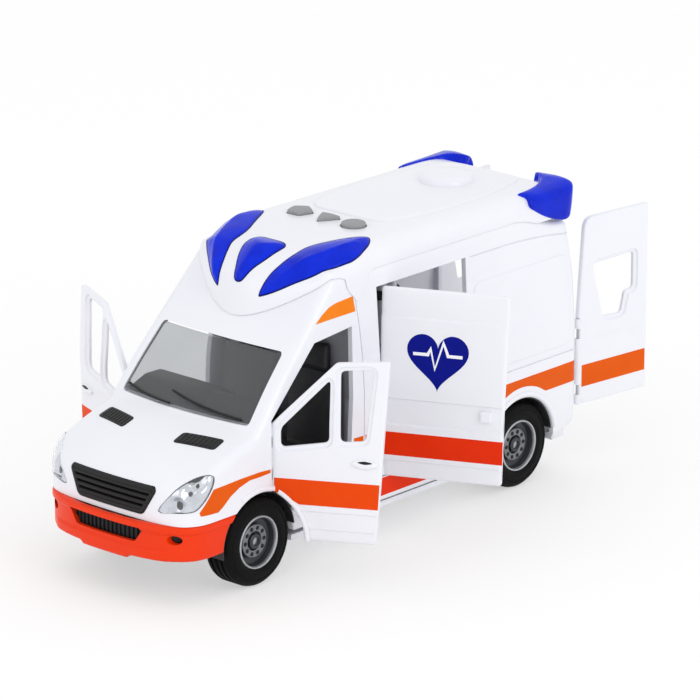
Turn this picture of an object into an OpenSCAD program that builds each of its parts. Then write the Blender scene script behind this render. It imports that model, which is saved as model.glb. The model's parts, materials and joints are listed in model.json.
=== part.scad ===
// Toy ambulance van with opening doors, rolling wheels, roof beacons and sound buttons.
// Millimetres. +X is forward, +Y is the van's left, +Z is up, and the tyres stand on z = 0.
// Shapes are drawn with the front axle at x = 0, then moved so the model is centred on the origin.

/* [Body] */
// Distance between the axles
wheelbase = 170; // [160:1:190]
// Width over the body sides
body_w = 86.4; // [80:0.4:96]
// Front axle to the foremost point of the bumper
front_overhang = 50.5; // [47:0.5:56]
// Rear axle to the rear face of the body
rear_overhang = 39; // [36:0.5:48]
// Height of the lower edge of the body sides
sill_z = 17.4; // [16:0.2:20]
// Height at which the sides start to lean in
belt_z = 70; // [69:0.5:74]
// Height of the seam between body and roof cap
seam_z = 124.5; // [120:0.5:134]
// How far each side leans in at the seam
side_lean = 4; // [2:0.2:5]
// Thickness of the moulded walls
wall = 2.4; // [2:0.1:2.8]

/* [Nose] */
// Front axle to the foot of the windscreen
screen_foot_x = 4.7; // [2:0.1:7]
// Height of the foot of the windscreen
screen_foot_z = 69.8; // [69:0.1:73]
// Slope of the windscreen from level
screen_slope = 45.7; // [43:0.1:49]
// Height of the opening for the windscreen
screen_h = 28; // [24:0.5:30]
// Width of the windscreen at its foot
screen_w = 71; // [64:0.5:74]
// Thickness of the windscreen
screen_t = 1.4; // [1:0.1:2]
// Height of the bumper's top edge
bumper_top_z = 36.6; // [35:0.2:38]
// Height of the bumper's lower edge
bumper_foot_z = 20.6; // [19:0.2:23]
// Width of the lower air intake
intake_w = 42; // [36:0.5:46]
// Diameter of the fog lamp holes
fog_d = 7; // [5:0.2:8]
// Width of the grille along its top edge
grille_w = 50; // [44:0.5:52]
// Height of the grille
grille_h = 13; // [10:0.2:14]
// Number of grille bars
grille_bars = 3; // [2:1:4]
// Width of each bonnet vent
vent_w = 18; // [14:0.5:20]
// Thickness of the headlight lenses
lamp_lens_t = 1.2; // [0.8:0.1:1.6]

/* [Wheels] */
// Tyre diameter
wheel_d = 39.2; // [36:0.2:41]
// Tyre width
tyre_w = 15; // [12:0.5:16]
// Rim diameter
rim_d = 25; // [22:0.5:27]
// Axle diameter
axle_d = 4; // [3:0.1:5]
// Room between tyre and wheel arch
arch_room = 2.8; // [2.4:0.1:4]
// Number of wheel bolts
bolt_count = 10; // [6:1:12]

/* [Doors] */
// Opening angle of the left front door
front_left_open = 61; // [0:1:73]
// Opening angle of the right front door
front_right_open = 70; // [0:1:75]
// Opening angle of the side door
side_open = 65; // [0:1:85]
// Opening angle of both rear doors
rear_open = 97; // [0:1:110]
// Front axle to the front edge of the front doors
front_door_x = 7.4; // [6.6:0.1:9]
// Length of the front doors along the sill
front_door_len = 46.5; // [40:0.5:48]
// How much longer the front doors are at the top
front_door_rake = 5.5; // [2:0.5:6]
// Height of the top edge of the front doors
front_door_top_z = 100.5; // [96:0.5:104]
// Front axle to the front edge of the side door
side_door_x = 77; // [74:0.5:80]
// Body left between the side door and the rear wheel arch
side_door_pillar = 15.6; // [14:0.2:20]
// Height of the lower edge of the side door
side_door_foot_z = 29.6; // [27:0.2:32]
// Height of the top edge of the side door
side_door_top_z = 114; // [108:0.5:116]
// Height of the lower edge of the rear doors
rear_door_foot_z = 29; // [27:0.2:32]
// Height of the top edge of the rear doors
rear_door_top_z = 116; // [108:0.5:117]
// Radius of the hinge knuckles
hinge_r = 1.5; // [1.3:0.05:1.8]
// Diameter of the hinge rods
rod_d = 1.4; // [1:0.1:1.6]
// Height of a hinge knuckle on the body
knuckle_h = 4; // [3:0.5:6]

/* [Roof cap] */
// Height of the cap above the seam
cap_h = 10.2; // [8.6:0.2:13]
// Length of the rounded nose of the cap
cap_nose = 44.3; // [40:0.5:48]
// Thickness of the cap and of the beacon lenses
cap_wall = 2; // [1.6:0.1:2.4]
// How deep the cap reaches down at its rear corners
cap_dip = 7; // [5:0.5:7.5]
// Button size across
button_d = 11; // [9:0.2:12]
// Spacing of the buttons
button_pitch = 15.5; // [15:0.1:18]
// Travel of the buttons
button_travel = 1.2; // [0.8:0.1:1.4]
// Diameter of the speaker dome
dome_d = 22; // [18:0.5:26]

/* [Base] */
// Height of the underside of the base plate
base_z = 13; // [12:0.2:14]
// Thickness of the base plate
base_t = 2.4; // [2:0.1:3]
// Width of the base plate between the axles
base_w = 76; // [70:0.5:79]
// Diameter of a battery cell
cell_d = 10.5; // [9:0.1:10.6]
// Length of a battery cell
cell_len = 44.5; // [40:0.5:46]
// Number of battery cells
cell_count = 3; // [2:1:3]
// Diameter of the base screws
screw_d = 2.4; // [2:0.1:2.6]
// Wall of the posts that take the base screws
post_wall = 1.8; // [1.4:0.1:2]

/* [Interior] */
// Thickness of the interior mouldings
liner_t = 1.8; // [1.4:0.1:2]
// Distance from the front axle back to the bulkhead
bulkhead_x = 66; // [64:0.5:68]
// Diameter of the steering wheel
steering_d = 20; // [16:0.5:22]
// Width of a front seat
seat_w = 27; // [22:0.5:28]
// Diameter of the oxygen cylinder
bottle_d = 14; // [10:0.5:16]
// Height of the oxygen cylinder up to its shoulder
bottle_h = 52; // [44:0.5:58]

/* [Clearances] */
// Gap round each door
shut_gap = 0.5; // [0.4:0.05:0.7]
// Gap between pieces that are fixed together
fit_gap = 0.1; // [0.05:0.01:0.15]
// Radial running gap on rods and axles
run_gap = 0.06; // [0.03:0.01:0.1]

/* [Hidden] */
$fn = 48;

white = "#f3f4f7";
orange = "#f4501a";
blue = "#0a2ae0";
black = "#1b1b1e";
grey = "#9b9ca0";
steel = "#b9bcc2";

half_w = body_w / 2;
wheel_r = wheel_d / 2;
arch_r = wheel_r + arch_room;
rear_x = -(wheelbase + rear_overhang);
far = 400;

// Hinge axes of the doors, as [x, y] in the drawing frame
hinge_y = half_w - hinge_r;
front_hinge = [-front_door_x - hinge_r, hinge_y];
side_hinge = [-side_door_x - hinge_r, hinge_y];
rear_hinge = [rear_x - hinge_r - 0.6 * shut_gap, hinge_y];
rear_leaf = hinge_y - shut_gap / 2;

// Centre of the open model along X, measured from the front axle
rear_reach = -rear_hinge[0] + rear_leaf * sin(rear_open) + hinge_r * abs(cos(rear_open));
front_axle_x = (rear_reach - front_overhang) / 2;

function unit(v) = v / norm(v);
function left_of(a, b) = let (u = unit(b - a)) [-u[1], u[0]];
// Moves the sides of a counter-clockwise outline inwards by d
function inset(p, d) = [
  for (i = [0:len(p) - 1])
    let (a = left_of(p[(i + len(p) - 1) % len(p)], p[i]), b = left_of(p[i], p[(i + 1) % len(p)]))
      p[i] + d * (a + b) / (1 + a * b)
];
function bend(a, b, c, n) = [
  for (i = [0:n]) let (t = i / n) (1 - t) * (1 - t) * a + 2 * t * (1 - t) * b + t * t * c
];
function arc(c, r, from, to, n) = [
  for (i = [0:n]) let (t = from + (to - from) * i / n) c + r * [cos(t), sin(t)]
];
// Completes an outline that is drawn for the left half only: as plan [x, y] or as section [y, z]
function both_sides(h) = concat(h, [for (i = [len(h) - 1:-1:0]) [h[i][0], -h[i][1]]]);
function both_halves(h) = concat(h, [for (i = [len(h) - 1:-1:0]) [-h[i][0], h[i][1]]]);
// Half width of the body at a height
function side_y(z) = half_w - side_lean * max(0, z - belt_z) / (seam_z - belt_z);
// Place of the windscreen slope at a height
function screen_x(z) = screen_foot_x - (z - screen_foot_z) / tan(screen_slope);

module side_prism(p, y0, y1) translate([0, y1, 0]) rotate([90, 0, 0]) linear_extrude(y1 - y0) polygon(p);
module plan_prism(p, z0, z1) translate([0, 0, z0]) linear_extrude(z1 - z0) polygon(p);
module front_prism(p, x0, x1) translate([x0, 0, 0]) rotate([90, 0, 90]) linear_extrude(x1 - x0) polygon(p);
module both_sides_of() {
  children();
  mirror([0, 1, 0]) children();
}
module block(x0, x1, y0, y1, z0, z1) translate([x0, y0, z0]) cube([x1 - x0, y1 - y0, z1 - z0]);
module post(x, y, z0, z1, r) translate([x, y, z0]) cylinder(h = z1 - z0, r = r);
module across(x, z, y0, y1, r) translate([x, y1, z]) rotate([90, 0, 0]) cylinder(h = y1 - y0, r = r);
module in_frame() translate([front_axle_x, 0, 0]) children();

// Outlines of the body
nose_x = front_overhang - 1.2;
nose_depth = 19.3;
nose_power = 2 / 3;
function nose_plan(tip, half) = [
  for (i = [0:10])
    let (t = 6 + 84 * i / 10)
      [tip - nose_depth + nose_depth * pow(cos(t), nose_power), half * pow(sin(t), nose_power)]
];
rear_corner = 3;
body_plan = both_sides(concat(
  nose_plan(nose_x, half_w),
  arc([rear_x + rear_corner, half_w - rear_corner], rear_corner, 90, 180, 3)
));
grille_foot_z = bumper_top_z + 2;
grille_top_z = grille_foot_z + grille_h;
grille_lean = 4;
bonnet_line = bend(
  [nose_x - grille_lean - 0.6, grille_top_z + 1.6], [nose_x - 13.5, 62.5],
  [screen_foot_x, screen_foot_z], 7
);
lip_z = seam_z - 18.5;
dip_x = rear_x + 18;
dip_run = 10;
roof_line = [
  [screen_x(seam_z), seam_z],
  [dip_x + dip_run, seam_z],
  [dip_x, seam_z - cap_dip],
  [rear_x, seam_z - cap_dip]
];
tail_z = sill_z + 6;
body_side = concat(
  [[rear_x, tail_z], [rear_x + 14, sill_z], [arch_r / 2, sill_z], [arch_r / 2, bumper_top_z]],
  [[nose_x, bumper_top_z]],
  bonnet_line,
  roof_line
);
section_top = seam_z + 20;
body_section = both_halves([[half_w, -20], [half_w, belt_z], [side_y(section_top), section_top]]);

// The body's outer form, with every side moved in by d
module body_form(d) {
  intersection() {
    side_prism(inset(body_side, d), -far, far);
    plan_prism(inset(body_plan, d), -1, section_top);
    front_prism(inset(body_section, d), -far, far);
  }
}
module body_skin(d0, d1) {
  difference() {
    body_form(d0);
    body_form(d1);
  }
}

// Windscreen opening, seen from the front
screen_low_z = screen_foot_z + 1.6;
screen_high_z = screen_low_z + screen_h;
screen_lean = side_lean * screen_h / (seam_z - belt_z) + 1;
screen_front = both_halves([
  [screen_w / 2, screen_low_z],
  [screen_w / 2 - screen_lean, screen_high_z]
]);
screen_back_x = screen_x(screen_high_z) - 14;

// Grille outline, seen from the front
grille_front = both_halves([
  [grille_w / 2 - 6, grille_foot_z],
  [grille_w / 2, grille_top_z - 2],
  [grille_w / 2 - 1, grille_top_z]
]);

// Bonnet vent outline, seen from above
vent_x = screen_foot_x + 9.4;
vent_y = 15.4;
vent_depth = 5;
vent_skew = 4.6;
vent_plan = [
  [vent_x, vent_y + vent_w],
  [vent_x + vent_skew, vent_y],
  [vent_x + vent_skew + vent_depth, vent_y],
  [vent_x + vent_depth, vent_y + vent_w]
];

// Headlight outlines, seen from the front and from the side
lamp_foot_z = bumper_top_z + 5;
lamp_inner_y = grille_w / 2 + 1.6;
lamp_front = [
  [lamp_inner_y, lamp_foot_z - 0.4],
  [far, lamp_foot_z],
  [far, lamp_foot_z + 17],
  [half_w - 2, lamp_foot_z + 16.5],
  [half_w - 8, lamp_foot_z + 13.5]
];
lamp_side = [
  [nose_x - 11, lamp_foot_z - 2],
  [far, lamp_foot_z - 2],
  [far, lamp_foot_z + 20],
  [nose_x - 24, lamp_foot_z + 20]
];
module lamp_prism(d) {
  intersection() {
    front_prism(inset(lamp_front, d), 0, far);
    side_prism(inset(lamp_side, d), 0, far);
  }
}

// Front door outline, seen from the side
front_door_end = front_door_x + front_door_len;
front_door_foot_z = sill_z + 0.4;
door_arch_r = arch_r + 0.6;
door_low_angle = 180 + asin((wheel_r - front_door_foot_z) / door_arch_r);
door_high_angle = acos((front_hinge[0] - hinge_r) / door_arch_r);
front_barrel_z = [wheel_r + door_arch_r * sin(door_high_angle) + 1, belt_z - 0.6];
door_corner_x = front_hinge[0] - 27.5;
front_door_side = concat(
  [[-front_door_end, front_door_foot_z]],
  arc([0, wheel_r], door_arch_r, door_low_angle, door_high_angle, 6),
  [
    [front_hinge[0], front_barrel_z[0]],
    [front_hinge[0], front_barrel_z[1]],
    [front_hinge[0] + hinge_r - 0.6, front_barrel_z[1] + 0.4],
    [door_corner_x, front_door_top_z - 2],
    [-front_door_end - front_door_rake, front_door_top_z]
  ]
);
front_door_hole = concat(
  [[-front_door_end - shut_gap, -1], [0, -1], [-front_door_x + shut_gap, front_barrel_z[0] - 4]],
  [
    [-front_door_x + shut_gap, front_barrel_z[1] + 2.6],
    [door_corner_x + 0.4, front_door_top_z - 2 + shut_gap],
    [-front_door_end - front_door_rake - shut_gap, front_door_top_z + shut_gap]
  ]
);
quarter_light = [
  [front_hinge[0] - 24.6, belt_z - 6.4],
  [front_hinge[0] - 3.6, belt_z - 10],
  [front_hinge[0] - 3.6, belt_z - 1.5],
  [front_hinge[0] - 24.9, front_door_top_z - 9.5]
];
door_light = [
  [-front_door_end + 4.6, belt_z - 4.8],
  [front_hinge[0] - 29.4, belt_z - 6],
  [front_hinge[0] - 29.2, front_door_top_z - 5.4],
  [-front_door_end + 1.2, front_door_top_z - 4.2]
];

// Side door outline, seen from the side
side_door_end = wheelbase - arch_r - side_door_pillar;
side_rake = 2.4;
side_barrel_z = [side_door_foot_z, belt_z - 0.6];
side_door_side = [
  [-side_door_end, side_door_foot_z],
  [side_hinge[0], side_door_foot_z],
  [side_hinge[0], side_barrel_z[1]],
  [side_hinge[0] + hinge_r - 0.6, side_barrel_z[1] + 0.4],
  [side_hinge[0] + hinge_r - 0.6, side_door_top_z],
  [-side_door_end - side_rake, side_door_top_z]
];
side_door_hole = [
  [-side_door_end - shut_gap, side_door_foot_z - shut_gap],
  [-side_door_x + shut_gap, side_door_foot_z - shut_gap],
  [-side_door_x + shut_gap, side_door_top_z + shut_gap],
  [-side_door_end - side_rake - shut_gap, side_door_top_z + shut_gap]
];

// Rear door outline, seen from behind
rear_barrel_z = [rear_door_foot_z, belt_z - 0.6];
rear_door_back = [
  [shut_gap / 2, rear_door_foot_z],
  [hinge_y, rear_door_foot_z],
  [hinge_y, rear_barrel_z[1]],
  [hinge_y + 1, rear_barrel_z[1] + 0.4],
  [side_y(rear_door_top_z) - 0.6, rear_door_top_z],
  [shut_gap / 2, rear_door_top_z]
];
rear_light = [
  [hinge_y - 33.4, rear_door_top_z - 38.7],
  [hinge_y - 28.4, rear_door_top_z - 39],
  [hinge_y - 26.1, rear_door_top_z - 49],
  [hinge_y - 14.9, rear_door_top_z - 48.4],
  [hinge_y - 8.2, rear_door_top_z - 22.6],
  [hinge_y - 33.4, rear_door_top_z - 21.6]
];
rear_rim = 4;

// Hinges: the door turns on a rod that passes through its barrel and the body's knuckles
function knuckles(z) = [z[0] + 5, z[1] - 5 - knuckle_h];
module hinge_barrel(h, z) post(h[0], h[1], z[0], z[1], hinge_r);
module hinge_cut(h, z) {
  post(h[0], h[1], z[0] - 1, z[1] + 1, rod_d / 2 + run_gap);
  for (k = knuckles(z)) post(h[0], h[1], k - shut_gap, k + knuckle_h + shut_gap, hinge_r + shut_gap);
}
module hinge_rod(h, z) {
  k = knuckles(z);
  post(h[0], h[1], k[0] - 3, k[1] + knuckle_h + 3, rod_d / 2);
}
// A knuckle with its web, which reaches forward from the axis by dx
module hinge_knuckles(h, z, dx) {
  for (k = knuckles(z)) {
    difference() {
      union() {
        post(h[0], h[1], k, k + knuckle_h, hinge_r);
        block(h[0], h[0] + dx, h[1] + hinge_r - wall, h[1] + hinge_r - 0.2, k, k + knuckle_h);
      }
      post(h[0], h[1], k - 1, k + knuckle_h + 1, rod_d / 2 + fit_gap / 10);
    }
  }
}
module swing(h, angle) {
  translate([h[0], h[1], 0]) rotate([0, 0, angle]) translate([-h[0], -h[1], 0]) children();
}

// The left body wall as a slab, from which the flush doors are cut
module left_wall(outline) {
  intersection() {
    side_prism(outline, half_w - side_lean - 3 * wall, half_w + 1);
    difference() {
      front_prism(body_section, -far, far);
      front_prism(inset(body_section, wall), -far, far);
    }
  }
}

// Posts that take the base screws, beside the doors
post_x = [-(front_door_end + side_door_x) / 2 - 2, -(side_door_end + wheelbase - arch_r) / 2 + 0.6];
post_r = screw_d / 2 + post_wall;
screw_head_r = screw_d;
post_y = base_w / 2 - screw_head_r - 0.4;
post_top_z = belt_z - 6;
post_room = 0.6;
screw_reach = 8;
base_top_z = base_z + base_t;
seat_z = base_top_z + fit_gap;
room_half = post_y - post_r - post_room;
// Room for the posts in the floors
module post_notches() {
  both_sides_of() for (x = post_x) {
    block(x - post_r - post_room, x + post_r + post_room, room_half, far, 0, far);
  }
}

module screw_bores() {
  both_sides_of() for (x = post_x) {
    post(x, post_y, base_top_z - 1, base_top_z + screw_reach + 1, screw_d / 2 + fit_gap / 2);
  }
}
module body_shell() {
  color(white) difference() {
    union() {
      difference() {
        body_form(0);
        body_form(wall);
        plan_prism(inset(body_plan, wall), -1, sill_z + 3 * wall);
        plan_prism(inset(body_plan, wall), bumper_top_z - 1, bumper_top_z + wall + 1);
        for (x = [0, -wheelbase]) across(x, wheel_r, -far, far, arch_r);
        front_prism(screen_front, screen_back_x, far);
        front_prism(grille_front, nose_x - 12, far);
        both_sides_of() plan_prism(vent_plan, belt_z - 20, belt_z + 20);
        both_sides_of() lamp_prism(0);
        both_sides_of() side_prism(front_door_hole, half_w - side_lean - 2 * wall, far);
        side_prism(side_door_hole, half_w - side_lean - 2 * wall, far);
        block(
          rear_x - 1, rear_x + wall + 1, -hinge_y + rear_rim, hinge_y - rear_rim,
          rear_door_foot_z + 1.5, rear_door_top_z - 1.5
        );
      }
      both_sides_of() hinge_knuckles(front_hinge, front_barrel_z, hinge_r + shut_gap + 2);
      hinge_knuckles(side_hinge, side_barrel_z, hinge_r + shut_gap + 2);
      both_sides_of() hinge_knuckles(rear_hinge, rear_barrel_z, -rear_hinge[0] + rear_x + wall);
      both_sides_of() for (x = post_x) {
        post(x, post_y, seat_z, post_top_z, post_r);
        block(x - post_wall / 2, x + post_wall / 2, post_y, half_w - wall / 2, sill_z + 1, post_top_z);
      }
    }
    screw_bores();
  }
}

module windscreen() {
  color("#8f98a8", 0.5) intersection() {
    body_skin(0.2, 0.2 + screen_t);
    front_prism(inset(screen_front, fit_gap), screen_back_x, far);
  }
}

// Bumper
bumper_t = 2.6;
bumper_plan = both_sides(concat(nose_plan(front_overhang, half_w + 0.2), [[-10, half_w + 0.2]]));
bumper_side = [
  [arch_r + 5, bumper_foot_z],
  [far, bumper_foot_z],
  [far, bumper_top_z],
  [sqrt(arch_r * arch_r - pow(bumper_top_z - wheel_r, 2)), bumper_top_z],
  [arch_r - 0.6, wheel_r + 8]
];
intake_z = [bumper_foot_z + 6.6, bumper_top_z - 2.6];
intake_front = both_halves([
  [intake_w / 2 - 4, intake_z[0]],
  [intake_w / 2, intake_z[1] - 1],
  [intake_w / 2 - 1, intake_z[1]]
]);
fog_y = half_w - 9.4;
fog_z = (bumper_foot_z + bumper_top_z) / 2 - 1;
lip_w = 26;
module front_bumper() {
  color(orange) difference() {
    intersection() {
      plan_prism(bumper_plan, bumper_foot_z - 2, bumper_top_z);
      union() {
        side_prism(bumper_side, -far, far);
        block(nose_x - 12, far, -lip_w / 2, lip_w / 2, bumper_foot_z - 1.4, bumper_foot_z + 1);
      }
    }
    plan_prism(inset(bumper_plan, bumper_t), 0, bumper_top_z + 1);
    front_prism(intake_front, 0, far);
    both_sides_of() translate([0, fog_y, fog_z]) rotate([0, 90, 0]) cylinder(h = far, d = fog_d);
  }
}

mesh_t = 1.2;
module intake_mesh() {
  mesh_w = fog_y + fog_d / 2 + 1.5;
  color(black) intersection() {
    difference() {
      plan_prism(inset(bumper_plan, bumper_t + fit_gap), intake_z[0] - 3, intake_z[1] + 1.4);
      plan_prism(inset(bumper_plan, bumper_t + mesh_t), 0, far);
    }
    block(nose_x - 19, far, -mesh_w, mesh_w, 0, far);
  }
}

module radiator_grille() {
  pitch = (grille_h - 3) / grille_bars;
  color(black) difference() {
    intersection() {
      body_skin(-0.6, wall);
      front_prism(inset(grille_front, fit_gap), nose_x - 11, far);
    }
    for (i = [0:grille_bars - 1]) {
      z = grille_foot_z + 2 + i * pitch;
      difference() {
        block(nose_x - 14, far, -grille_w / 2 + 5, grille_w / 2 - 5, z, z + pitch - 1.3);
        body_form(wall / 2);
      }
    }
  }
}

module bonnet_vents() {
  slats = 8;
  pitch = vent_w / slats;
  color(black) both_sides_of() difference() {
    intersection() {
      body_skin(-0.3, wall - 0.4);
      plan_prism(inset(vent_plan, fit_gap), belt_z - 20, belt_z + 20);
    }
    for (i = [0:slats - 1]) {
      y = vent_y + (i + 0.3) * pitch;
      difference() {
        block(vent_x - 1, vent_x + vent_skew + vent_depth + 1, y, y + 0.45 * pitch, belt_z - 20, far);
        body_form(0.9);
      }
    }
  }
}

module headlight_reflectors() {
  color(steel) both_sides_of() intersection() {
    body_skin(lamp_lens_t + fit_gap, lamp_lens_t + 4);
    lamp_prism(fit_gap);
  }
}

module headlight_lenses() {
  color("#e8eef5", 0.4) both_sides_of() intersection() {
    body_skin(0, lamp_lens_t);
    lamp_prism(fit_gap);
  }
}

// Roof cap: a boat-shaped cover with a rounded nose that droops onto the brow
cap_half = half_w - side_lean;
cap_top_z = seam_z + cap_h;
cap_nose_x = screen_x(lip_z);
cap_plan = both_sides(concat(
  [for (i = [0:12]) let (t = 5 + 85 * i / 12) [cap_nose_x - cap_nose + cap_nose * cos(t), cap_half * sin(t)]],
  arc([rear_x + 9, cap_half - 9], 9, 90, 180, 5)
));
cap_top_line = concat(
  bend([cap_nose_x - 0.5, lip_z + 7], [cap_nose_x - 2.4, cap_top_z], [cap_nose_x - 50, cap_top_z], 9),
  bend([rear_x + 20, cap_top_z - 0.2], [rear_x + 2, cap_top_z - 1], [rear_x, cap_top_z - 12.5], 4)
);
// Side outline of the cap, with its underside lowered by drop
function cap_side(drop) = concat(
  [[rear_x, seam_z - cap_dip - drop], [dip_x, seam_z - cap_dip - drop], [dip_x + dip_run, seam_z - drop]],
  [[screen_x(seam_z), seam_z - drop], [cap_nose_x, lip_z - drop]],
  cap_top_line
);
cap_section = both_halves([
  [cap_half, seam_z - 40],
  [cap_half, seam_z],
  [cap_half - 0.9, seam_z + 0.4 * cap_h],
  [cap_half - 3.2, seam_z + 0.72 * cap_h],
  [cap_half - 7.2, seam_z + 0.92 * cap_h],
  [cap_half - 15, seam_z + cap_h + 0.2],
  [8, cap_top_z + 0.6]
]);
module cap_form(d, drop) {
  intersection() {
    side_prism(inset(cap_side(drop), d), -far, far);
    plan_prism(inset(cap_plan, d), 0, far);
    front_prism(inset(cap_section, d), -far, far);
  }
}
module cap_skin(d) {
  difference() {
    cap_form(d, 0);
    cap_form(cap_wall, 8);
  }
}

// Beacon lens outlines, seen from above and from the side
lens_end_x = cap_nose_x - 50;
front_lens_plan = [
  [cap_nose_x + 3, half_w + 4],
  [lens_end_x, half_w + 4],
  [lens_end_x, cap_half - 6.4],
  [cap_nose_x - 38.5, 25.5],
  [cap_nose_x - 27.5, 20.5],
  [cap_nose_x - 15.5, 17],
  [cap_nose_x - 1, 12],
  [cap_nose_x + 3, 11]
];
front_lens_side = [
  [cap_nose_x + 3, lip_z + 8.4],
  [cap_nose_x + 3, far],
  [lens_end_x, far],
  [lens_end_x, seam_z + 8.6],
  [cap_nose_x - 41, seam_z + 4.2],
  [cap_nose_x - 29, seam_z + 2.8],
  [cap_nose_x - 14, seam_z - 0.2],
  [cap_nose_x - 5, seam_z - 6.4]
];
centre_lens_plan = both_sides([
  [cap_nose_x - 2.6, 1.6],
  [cap_nose_x - 8, 6.4],
  [cap_nose_x - 14, 8.8],
  [cap_nose_x - 20, 8.8],
  [cap_nose_x - 21.6, 6.6]
]);
rear_lens_x = rear_x + 31;
rear_lens_plan = [
  [rear_lens_x, cap_half - 6.6],
  [rear_lens_x, half_w + 4],
  [rear_x - 4, half_w + 4],
  [rear_x - 4, 15.5]
];
rear_lens_side = [
  [rear_x - 4, seam_z - cap_dip + 1.6],
  [dip_x + 0.8, seam_z - cap_dip + 1.6],
  [dip_x + dip_run + 0.8, seam_z + 1.6],
  [rear_lens_x, seam_z + 5],
  [rear_lens_x, far],
  [rear_x - 4, far]
];
module front_lens_space(d) intersection() {
  plan_prism(inset(front_lens_plan, d), 0, far);
  side_prism(inset(front_lens_side, d), -far, far);
}
module rear_lens_space(d) intersection() {
  plan_prism(inset(rear_lens_plan, d), 0, far);
  side_prism(inset(rear_lens_side, d), -far, far);
}

// Buttons and what lies under them
button_x = cap_nose_x - 58.5;
board_t = 1.6;
switch_h = 3;
button_foot_z = seam_z + board_t + switch_h + button_travel + 0.2;
button_top_z = cap_top_z + 1.4;
button_flange = 1.2;
flange_z = cap_top_z - cap_wall - button_flange - 0.4;
button_hole = button_d / 2 + 0.4;

dome_x = rear_x + 41;
dome_h = 2.2;
dome_r = (dome_d * dome_d / 4 + dome_h * dome_h) / (2 * dome_h);
module roof_cap() {
  color(white) difference() {
    union() {
      cap_skin(0);
      intersection() {
        translate([dome_x, 0, cap_top_z + dome_h - dome_r]) sphere(r = dome_r);
        post(dome_x, 0, cap_top_z - 1, cap_top_z + dome_h + 1, dome_d / 2);
      }
    }
    both_sides_of() front_lens_space(0);
    both_sides_of() rear_lens_space(0);
    plan_prism(centre_lens_plan, 0, far);
    for (i = [-1:1]) post(button_x, i * button_pitch, seam_z, far, button_hole);
  }
}

module beacon_skin() {
  difference() {
    cap_form(-0.4, 0);
    cap_form(cap_wall, 8);
  }
}
module front_left_beacon_lens() color(blue, 0.85) intersection() {
  beacon_skin();
  front_lens_space(fit_gap);
}
module front_right_beacon_lens() mirror([0, 1, 0]) front_left_beacon_lens();
module centre_beacon_lens() color(blue, 0.85) intersection() {
  beacon_skin();
  plan_prism(inset(centre_lens_plan, fit_gap), 0, far);
}
module rear_left_beacon_lens() color(blue, 0.85) intersection() {
  beacon_skin();
  rear_lens_space(fit_gap);
}
module rear_right_beacon_lens() mirror([0, 1, 0]) rear_left_beacon_lens();

module button(i, sides) {
  color(grey) translate([button_x, i * button_pitch, 0]) {
    translate([0, 0, flange_z + button_flange]) rotate([0, 0, 180])
      cylinder(h = button_top_z - flange_z - button_flange, d = button_d, $fn = sides);
    translate([0, 0, flange_z]) cylinder(h = button_flange, r = button_hole + 1);
    translate([0, 0, button_foot_z]) cylinder(h = flange_z - button_foot_z, d = 3);
  }
}
module round_button() button(1, 48);
module triangle_button() button(0, 3);
module pentagon_button() button(-1, 5);

board_len = 30;
board_w = 2 * button_pitch + 18;
module circuit_board() {
  color("#2f7a46") block(
    button_x - board_len / 2, button_x + board_len / 2, -board_w / 2, board_w / 2, seam_z, seam_z + board_t
  );
}
module button_switches() {
  color(black) for (i = [-1:1]) {
    block(
      button_x - 3, button_x + 3, i * button_pitch - 3, i * button_pitch + 3,
      seam_z + board_t, seam_z + board_t + switch_h
    );
  }
}
module speaker() {
  color(black) {
    post(dome_x, 0, seam_z, seam_z + 2.4, dome_d / 2 - 3);
    post(dome_x, 0, seam_z + 2.4, seam_z + 5.6, dome_d / 2 + 1);
  }
}
led_r = 1.5;
module beacon_leds() {
  color("#d8e4ff") {
    both_sides_of() post(cap_nose_x - 32, cap_half - 11, seam_z, seam_z + 3.4, led_r);
    post(cap_nose_x - 21, 0, seam_z, seam_z + 3.4, led_r);
    both_sides_of() post(dip_x + dip_run + 4, cap_half - 8, seam_z, seam_z + 3.4, led_r);
  }
}

// Doors, drawn closed on the left side
handle_len = 9;
handle_t = 1.2;
module front_door_closed() {
  handle_x = -front_door_end + 3;
  difference() {
    union() {
      left_wall(front_door_side);
      hinge_barrel(front_hinge, front_barrel_z);
      block(handle_x, handle_x + handle_len, half_w - 1, half_w + handle_t, belt_z - 16, belt_z - 12.6);
    }
    hinge_cut(front_hinge, front_barrel_z);
    side_prism(quarter_light, 0, far);
    side_prism(door_light, 0, far);
  }
}
module side_door_closed() {
  rail_z = [belt_z - 16.5, belt_z - 5];
  difference() {
    union() {
      left_wall(side_door_side);
      hinge_barrel(side_hinge, side_barrel_z);
      block(
        -side_door_end + 4, -side_door_end + 8.5, half_w - 1, half_w + handle_t,
        rail_z[0] + 5.5, rail_z[1] - 2
      );
    }
    hinge_cut(side_hinge, side_barrel_z);
    difference() {
      block(-side_door_end - 1, side_hinge[0] - 5, half_w - 0.8, far, rail_z[0], rail_z[1]);
      block(-side_door_end + 4, -side_door_end + 8.5, half_w - 1, far, rail_z[0] + 5.5, rail_z[1] - 2);
    }
  }
}
module rear_door_closed() {
  difference() {
    union() {
      front_prism(rear_door_back, rear_hinge[0] - hinge_r, rear_hinge[0] - hinge_r + wall);
      hinge_barrel(rear_hinge, rear_barrel_z);
    }
    hinge_cut(rear_hinge, rear_barrel_z);
    front_prism(rear_light, rear_x - 10, rear_x);
  }
}
module front_left_door() color(white) swing(front_hinge, -front_left_open) front_door_closed();
module front_right_door() {
  color(white) mirror([0, 1, 0]) swing(front_hinge, -front_right_open) front_door_closed();
}
module side_door() color(white) swing(side_hinge, -side_open) side_door_closed();
module rear_left_door() color(white) swing(rear_hinge, -rear_open) rear_door_closed();
module rear_right_door() mirror([0, 1, 0]) rear_left_door();

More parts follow.
